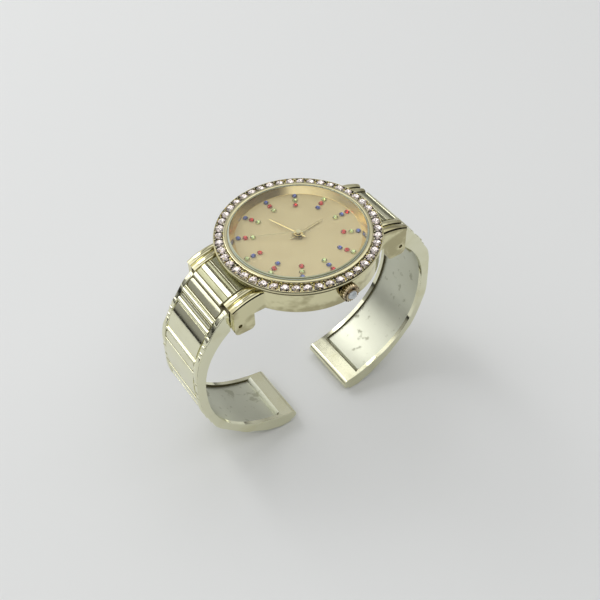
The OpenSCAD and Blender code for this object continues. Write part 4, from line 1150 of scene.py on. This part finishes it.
def arm_plates():
    """A raised plate in each field between two bars that is long enough for one."""
    shape = bmesh.new()
    spans = bar_spans()
    starts = [PLATE_FROM] + [span[1] for span in spans]
    ends = [span[0] for span in spans] + [CURVE_END]
    half = PANEL_X - 0.26
    for start, end, (rise, crown) in zip(starts, ends, PLATES):
        if end - start > PLATE_LEAST:
            plate = flat_block((-half, half), (start + PLATE_GAP, end - PLATE_GAP), (FOOT, rise),
                               0.7, 0.05, crown, step=0.4)
            merge(shape, arm_curve.lay(plate))
    return shape


print("rails from", round(RAIL_FROM, 1), "to", round(CURVE_END, 1), "mm along the curve")

# %% Both arms
for end, hour in ENDS.items():
    arm = "arm_" + hour
    body = arm_body()
    merge(body, arm_head())
    make_piece("arm_body_" + end, at_end(body, end), [bracelet_gold, arm_inside, painted_groove_shade], arm,
               "bracelet_gold", arm)
    make_piece("arm_rails_" + end, at_end(arm_rails(), end), [bracelet_gold], arm, "bracelet_gold")
    make_piece("arm_plates_" + end, at_end(arm_plates(), end), [bracelet_gold], arm, "bracelet_gold")

# %% [markdown]
# ## Hinge springs
# A small coil spring round each pin closes its arm on the wrist. It is one wire, so a circle of
# wire is spun round the pin while it moves along it.

# %% Springs
SPRING_R, WIRE_R, SPRING_HALF, TURNS, TURN_STEPS = 1.0, 0.15, 2.15, 6, 32


def hinge_spring():
    shape = bmesh.new()
    bmesh.ops.create_circle(shape, segments=10, radius=WIRE_R)
    shift(shape, (-SPRING_HALF, HINGE[0] + SPRING_R, HINGE[1]))
    steps = TURNS * TURN_STEPS
    bmesh.ops.spin(shape, geom=whole(shape), cent=(0, *HINGE), axis=(1, 0, 0),
                   dvec=(2 * SPRING_HALF / steps, 0, 0), angle=tau * TURNS, steps=steps)
    close_ends(shape)
    return shape


spring_steel = plated("spring_steel", (0.72, 0.72, 0.74), (0.6, 0.6, 0.62), 0.2, 0.0005)
for end, hour in ENDS.items():
    make_piece("spring_" + end, at_end(hinge_spring(), end), [spring_steel], "case", "steel",
               "hinge_spring_" + hour)

# %% [markdown]
# ## Finishes inside
# The pieces inside keep their CAD shapes, because they are flat plates, turned wheels and boxes.
# What they lack is a surface. One recipe covers most: a grain of a given size and direction, and
# larger patches, both of which change colour, roughness and height. Turned metal gets circles.

# %% Grained finishes
def grained(name, colour, dark, metallic, rough, grain, stretch=(1, 1, 1), rise=0.002, patch=3.0):
    finish = Finish(name, colour, {"Metallic": metallic})
    lines = finish.noise(grain, 3, stretch)
    patches = finish.steps(finish.noise(patch, 3), 0.4, 0.7)
    finish.paint(0.5 * lines + 0.4 * patches, colour, dark)
    finish.roughen(rough[0] + (rough[1] - rough[0]) * (0.6 * lines + 0.4 * patches))
    finish.bump(lines, rise)
    return finish.material


def turned_grain(name, colour, dark, rough):
    """Fine circles round the watch's axis, as a lathe or a turning brush leaves."""
    finish = Finish(name, colour, {"Metallic": 1.0})
    flat = finish.node("VectorMath", {"operation": "MULTIPLY"}, {0: finish.place, 1: (1, 1, 0)})
    radius = finish.node("VectorMath", {"operation": "LENGTH"}, {0: flat}, output="Value")
    circles = finish.node("TexNoise", {"noise_dimensions": "1D"},
                          {"W": radius, "Scale": 9.0, "Detail": 6})
    smudges = finish.steps(finish.noise(5.0, 3), 0.45, 0.7)
    finish.paint(0.6 * circles, colour, dark)
    finish.roughen(rough[0] + (rough[1] - rough[0]) * circles + 0.1 * smudges)
    finish.bump(circles, 0.002)
    return finish.material


def dress(finish, *nodes):
    """Gives CAD pieces a finish in place of their own."""
    for node in nodes:
        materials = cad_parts[node].data.materials
        for i in range(len(materials)):
            materials[i] = finish
    print(*nodes, "in", finish.name)


# %% Dress the CAD nodes
dress(grained("dial_satin", (0.60, 0.49, 0.272), (0.53, 0.42, 0.225), 0.35, (0.34, 0.46), 0.05,
              (1, 6, 1), 0.0008, 6.0), "dial")
dress(turned_grain("back_steel", (0.74, 0.74, 0.72), (0.50, 0.50, 0.49), (0.18, 0.38)), "case_back")
dress(grained("rubber", (0.03, 0.03, 0.032), (0.015, 0.015, 0.017), 0.0, (0.5, 0.75), 0.2, rise=0.004),
      "back_gasket", "crown_gasket")
dress(grained("clear_nylon", (0.72, 0.78, 0.72), (0.58, 0.66, 0.58), 0.0, (0.25, 0.4), 0.3),
      "crystal_gasket")
dress(grained("white_nylon", (0.78, 0.77, 0.72), (0.66, 0.65, 0.60), 0.0, (0.4, 0.6), 0.4), "movement_ring")
dress(turned_grain("nickel_plate", (0.80, 0.72, 0.50), (0.62, 0.54, 0.34), (0.2, 0.4)),
      "main_plate", "train_bridge")
dress(grained("ground_steel", (0.62, 0.63, 0.66), (0.40, 0.41, 0.44), 1.0, (0.2, 0.42), 0.1, (1, 8, 1)),
      "bridge_screws", "stator", "coil_core", "stem", "clutch_pinion", "clutch_yoke", "setting_lever",
      "quartz_can")
dress(turned_grain("battery_can", (0.78, 0.78, 0.77), (0.60, 0.60, 0.60), (0.22, 0.36)), "battery")
dress(grained("spring_strap", (0.72, 0.66, 0.48), (0.55, 0.48, 0.32), 1.0, (0.2, 0.35), 0.15, (1, 6, 1)),
      "battery_strap")
dress(grained("winding", (0.80, 0.36, 0.14), (0.42, 0.15, 0.05), 0.7, (0.25, 0.5), 0.06, (5, 1, 5), 0.02),
      "coil")
dress(grained("green_board", (0.03, 0.20, 0.08), (0.02, 0.11, 0.05), 0.0, (0.3, 0.5), 0.25), "circuit_board")
dress(grained("moulded_black", (0.02, 0.02, 0.022), (0.04, 0.04, 0.042), 0.0, (0.45, 0.65), 0.08), "chip")
dress(grained("magnet_grey", (0.20, 0.20, 0.21), (0.10, 0.10, 0.11), 0.6, (0.35, 0.6), 0.08), "rotor")
dress(turned_grain("wheel_brass", (0.80, 0.58, 0.22), (0.60, 0.40, 0.13), (0.2, 0.38)),
      "intermediate_wheel", "seconds_wheel", "third_wheel", "centre_wheel", "minute_wheel", "hour_wheel",
      "setting_wheel")
dress(case_gold, "crown_tube")

# %% [markdown]
# ## Floor and light
# Polished metal shows its surroundings more than its own colour. The photograph's bands tell what
# stood round the watch: a pale table, a dark strip at the horizon, greys above it, a broad white
# light higher up and a dimmer ceiling. A sky that changes with height gives these bands, and a few
# masks by direction make its walls differ.

# %% Floor
FLOOR_HALF = 3
floor_shape = bmesh.new()
bmesh.ops.create_grid(floor_shape, x_segments=1, y_segments=1, size=FLOOR_HALF)
shift(floor_shape, (0, 0, cad_box[0][2]))
floor = add_object("floor", as_mesh("floor", floor_shape))
paper = Finish("paper", (0.80, 0.81, 0.815))
paper.roughen(0.75 + 0.1 * paper.noise(30, 2))
floor.data.materials.append(paper.material)
print("floor at", round(cad_box[0][2] / MM, 2), "mm")

# %% Sky
world = bpy.data.worlds.new("room")
bpy.context.scene.world = world
sky = Graph(world, "OutputWorld")
direction = sky.node("TexCoord", output="Generated")
height = sky.node("SeparateXYZ", None, {0: direction}, output="Z")


def wall(*stops):
    """Grey levels by height, from the horizon at 0 to straight up at 1, dim overhead."""
    stops += (0.88, 1.0), (0.94, 0.35)
    return sky.node("ValToRGB", {"stops": [(at, (grey,) * 3) for at, grey in stops]}, {0: height})


def towards(x, y, z, low, high):
    """0 to 1 as a direction comes nearer to (x, y, z)."""
    share = sky.node("VectorMath", {"operation": "DOT_PRODUCT"},
                     {0: direction, 1: Vector((x, y, z)).normalized()}, output="Value")
    return sky.steps(share, low, high)


side_wall = wall((0.0, 0.01), (0.04, 0.02), (0.10, 0.17), (0.16, 0.24), (0.32, 0.28), (0.48, 0.50),
                 (0.58, 1.0))
far_wall = wall((0.0, 0.06), (0.05, 0.22), (0.16, 0.40), (0.30, 0.38), (0.40, 0.30), (0.64, 0.46),
                (0.76, 1.0))
near_wall = wall((0.0, 0.01), (0.28, 0.02), (0.42, 0.45), (0.58, 1.0))
corner_wall = wall((0.0, 0.01), (0.64, 0.02), (0.76, 0.8))
room = side_wall + towards(-0.75, 0.66, 0, 0.2, 0.6) * (far_wall - side_wall)
room = room + towards(0.84, -0.54, 0, 0.1, 0.5) * (near_wall - room)
room = room + towards(0.90, 0.42, 0, 0.55, 0.75) * (corner_wall - room)
dark_gap = towards(-0.64, -0.03, 0.77, 0.986, 0.995)
room = room * (1 - 0.92 * dark_gap)
sky.show(sky.node("Background", None, {"Color": (1, 1, 0.985, 1), "Strength": 1.25 * room}))
print("the sky is white high up, grey at the sides and dark at the horizon")

# %% [markdown]
# Two area lamps add what the sky can't: a narrow strip that draws a bright line along the ridges
# and rails, and a wide soft window behind the watch that brightens the faces turned to it.

# %% Lamps
def area_lamp(name, spot, length, width, power):
    """A lamp that points at the watch, its length along X."""
    made = bpy.data.lights.new(name, "AREA")
    made.shape, made.size, made.size_y, made.energy = "RECTANGLE", length, width, power
    holder = add_object(name, made)
    away = Vector(spot).normalized()
    side = Vector((1, 0, 0)).cross(away).normalized()
    axes = Matrix((-away.cross(side), side, away)).transposed().to_4x4()
    holder.matrix_world = Matrix.Translation(spot) @ axes


area_lamp("strip", (-0.36, -0.145, 0.49), 0.6, 0.11, 0.5)
area_lamp("window", (-0.90, -0.38, 0.50), 0.8, 0.8, 2.0)
bpy.context.scene.view_settings.view_transform = "Standard"
print("two lamps")
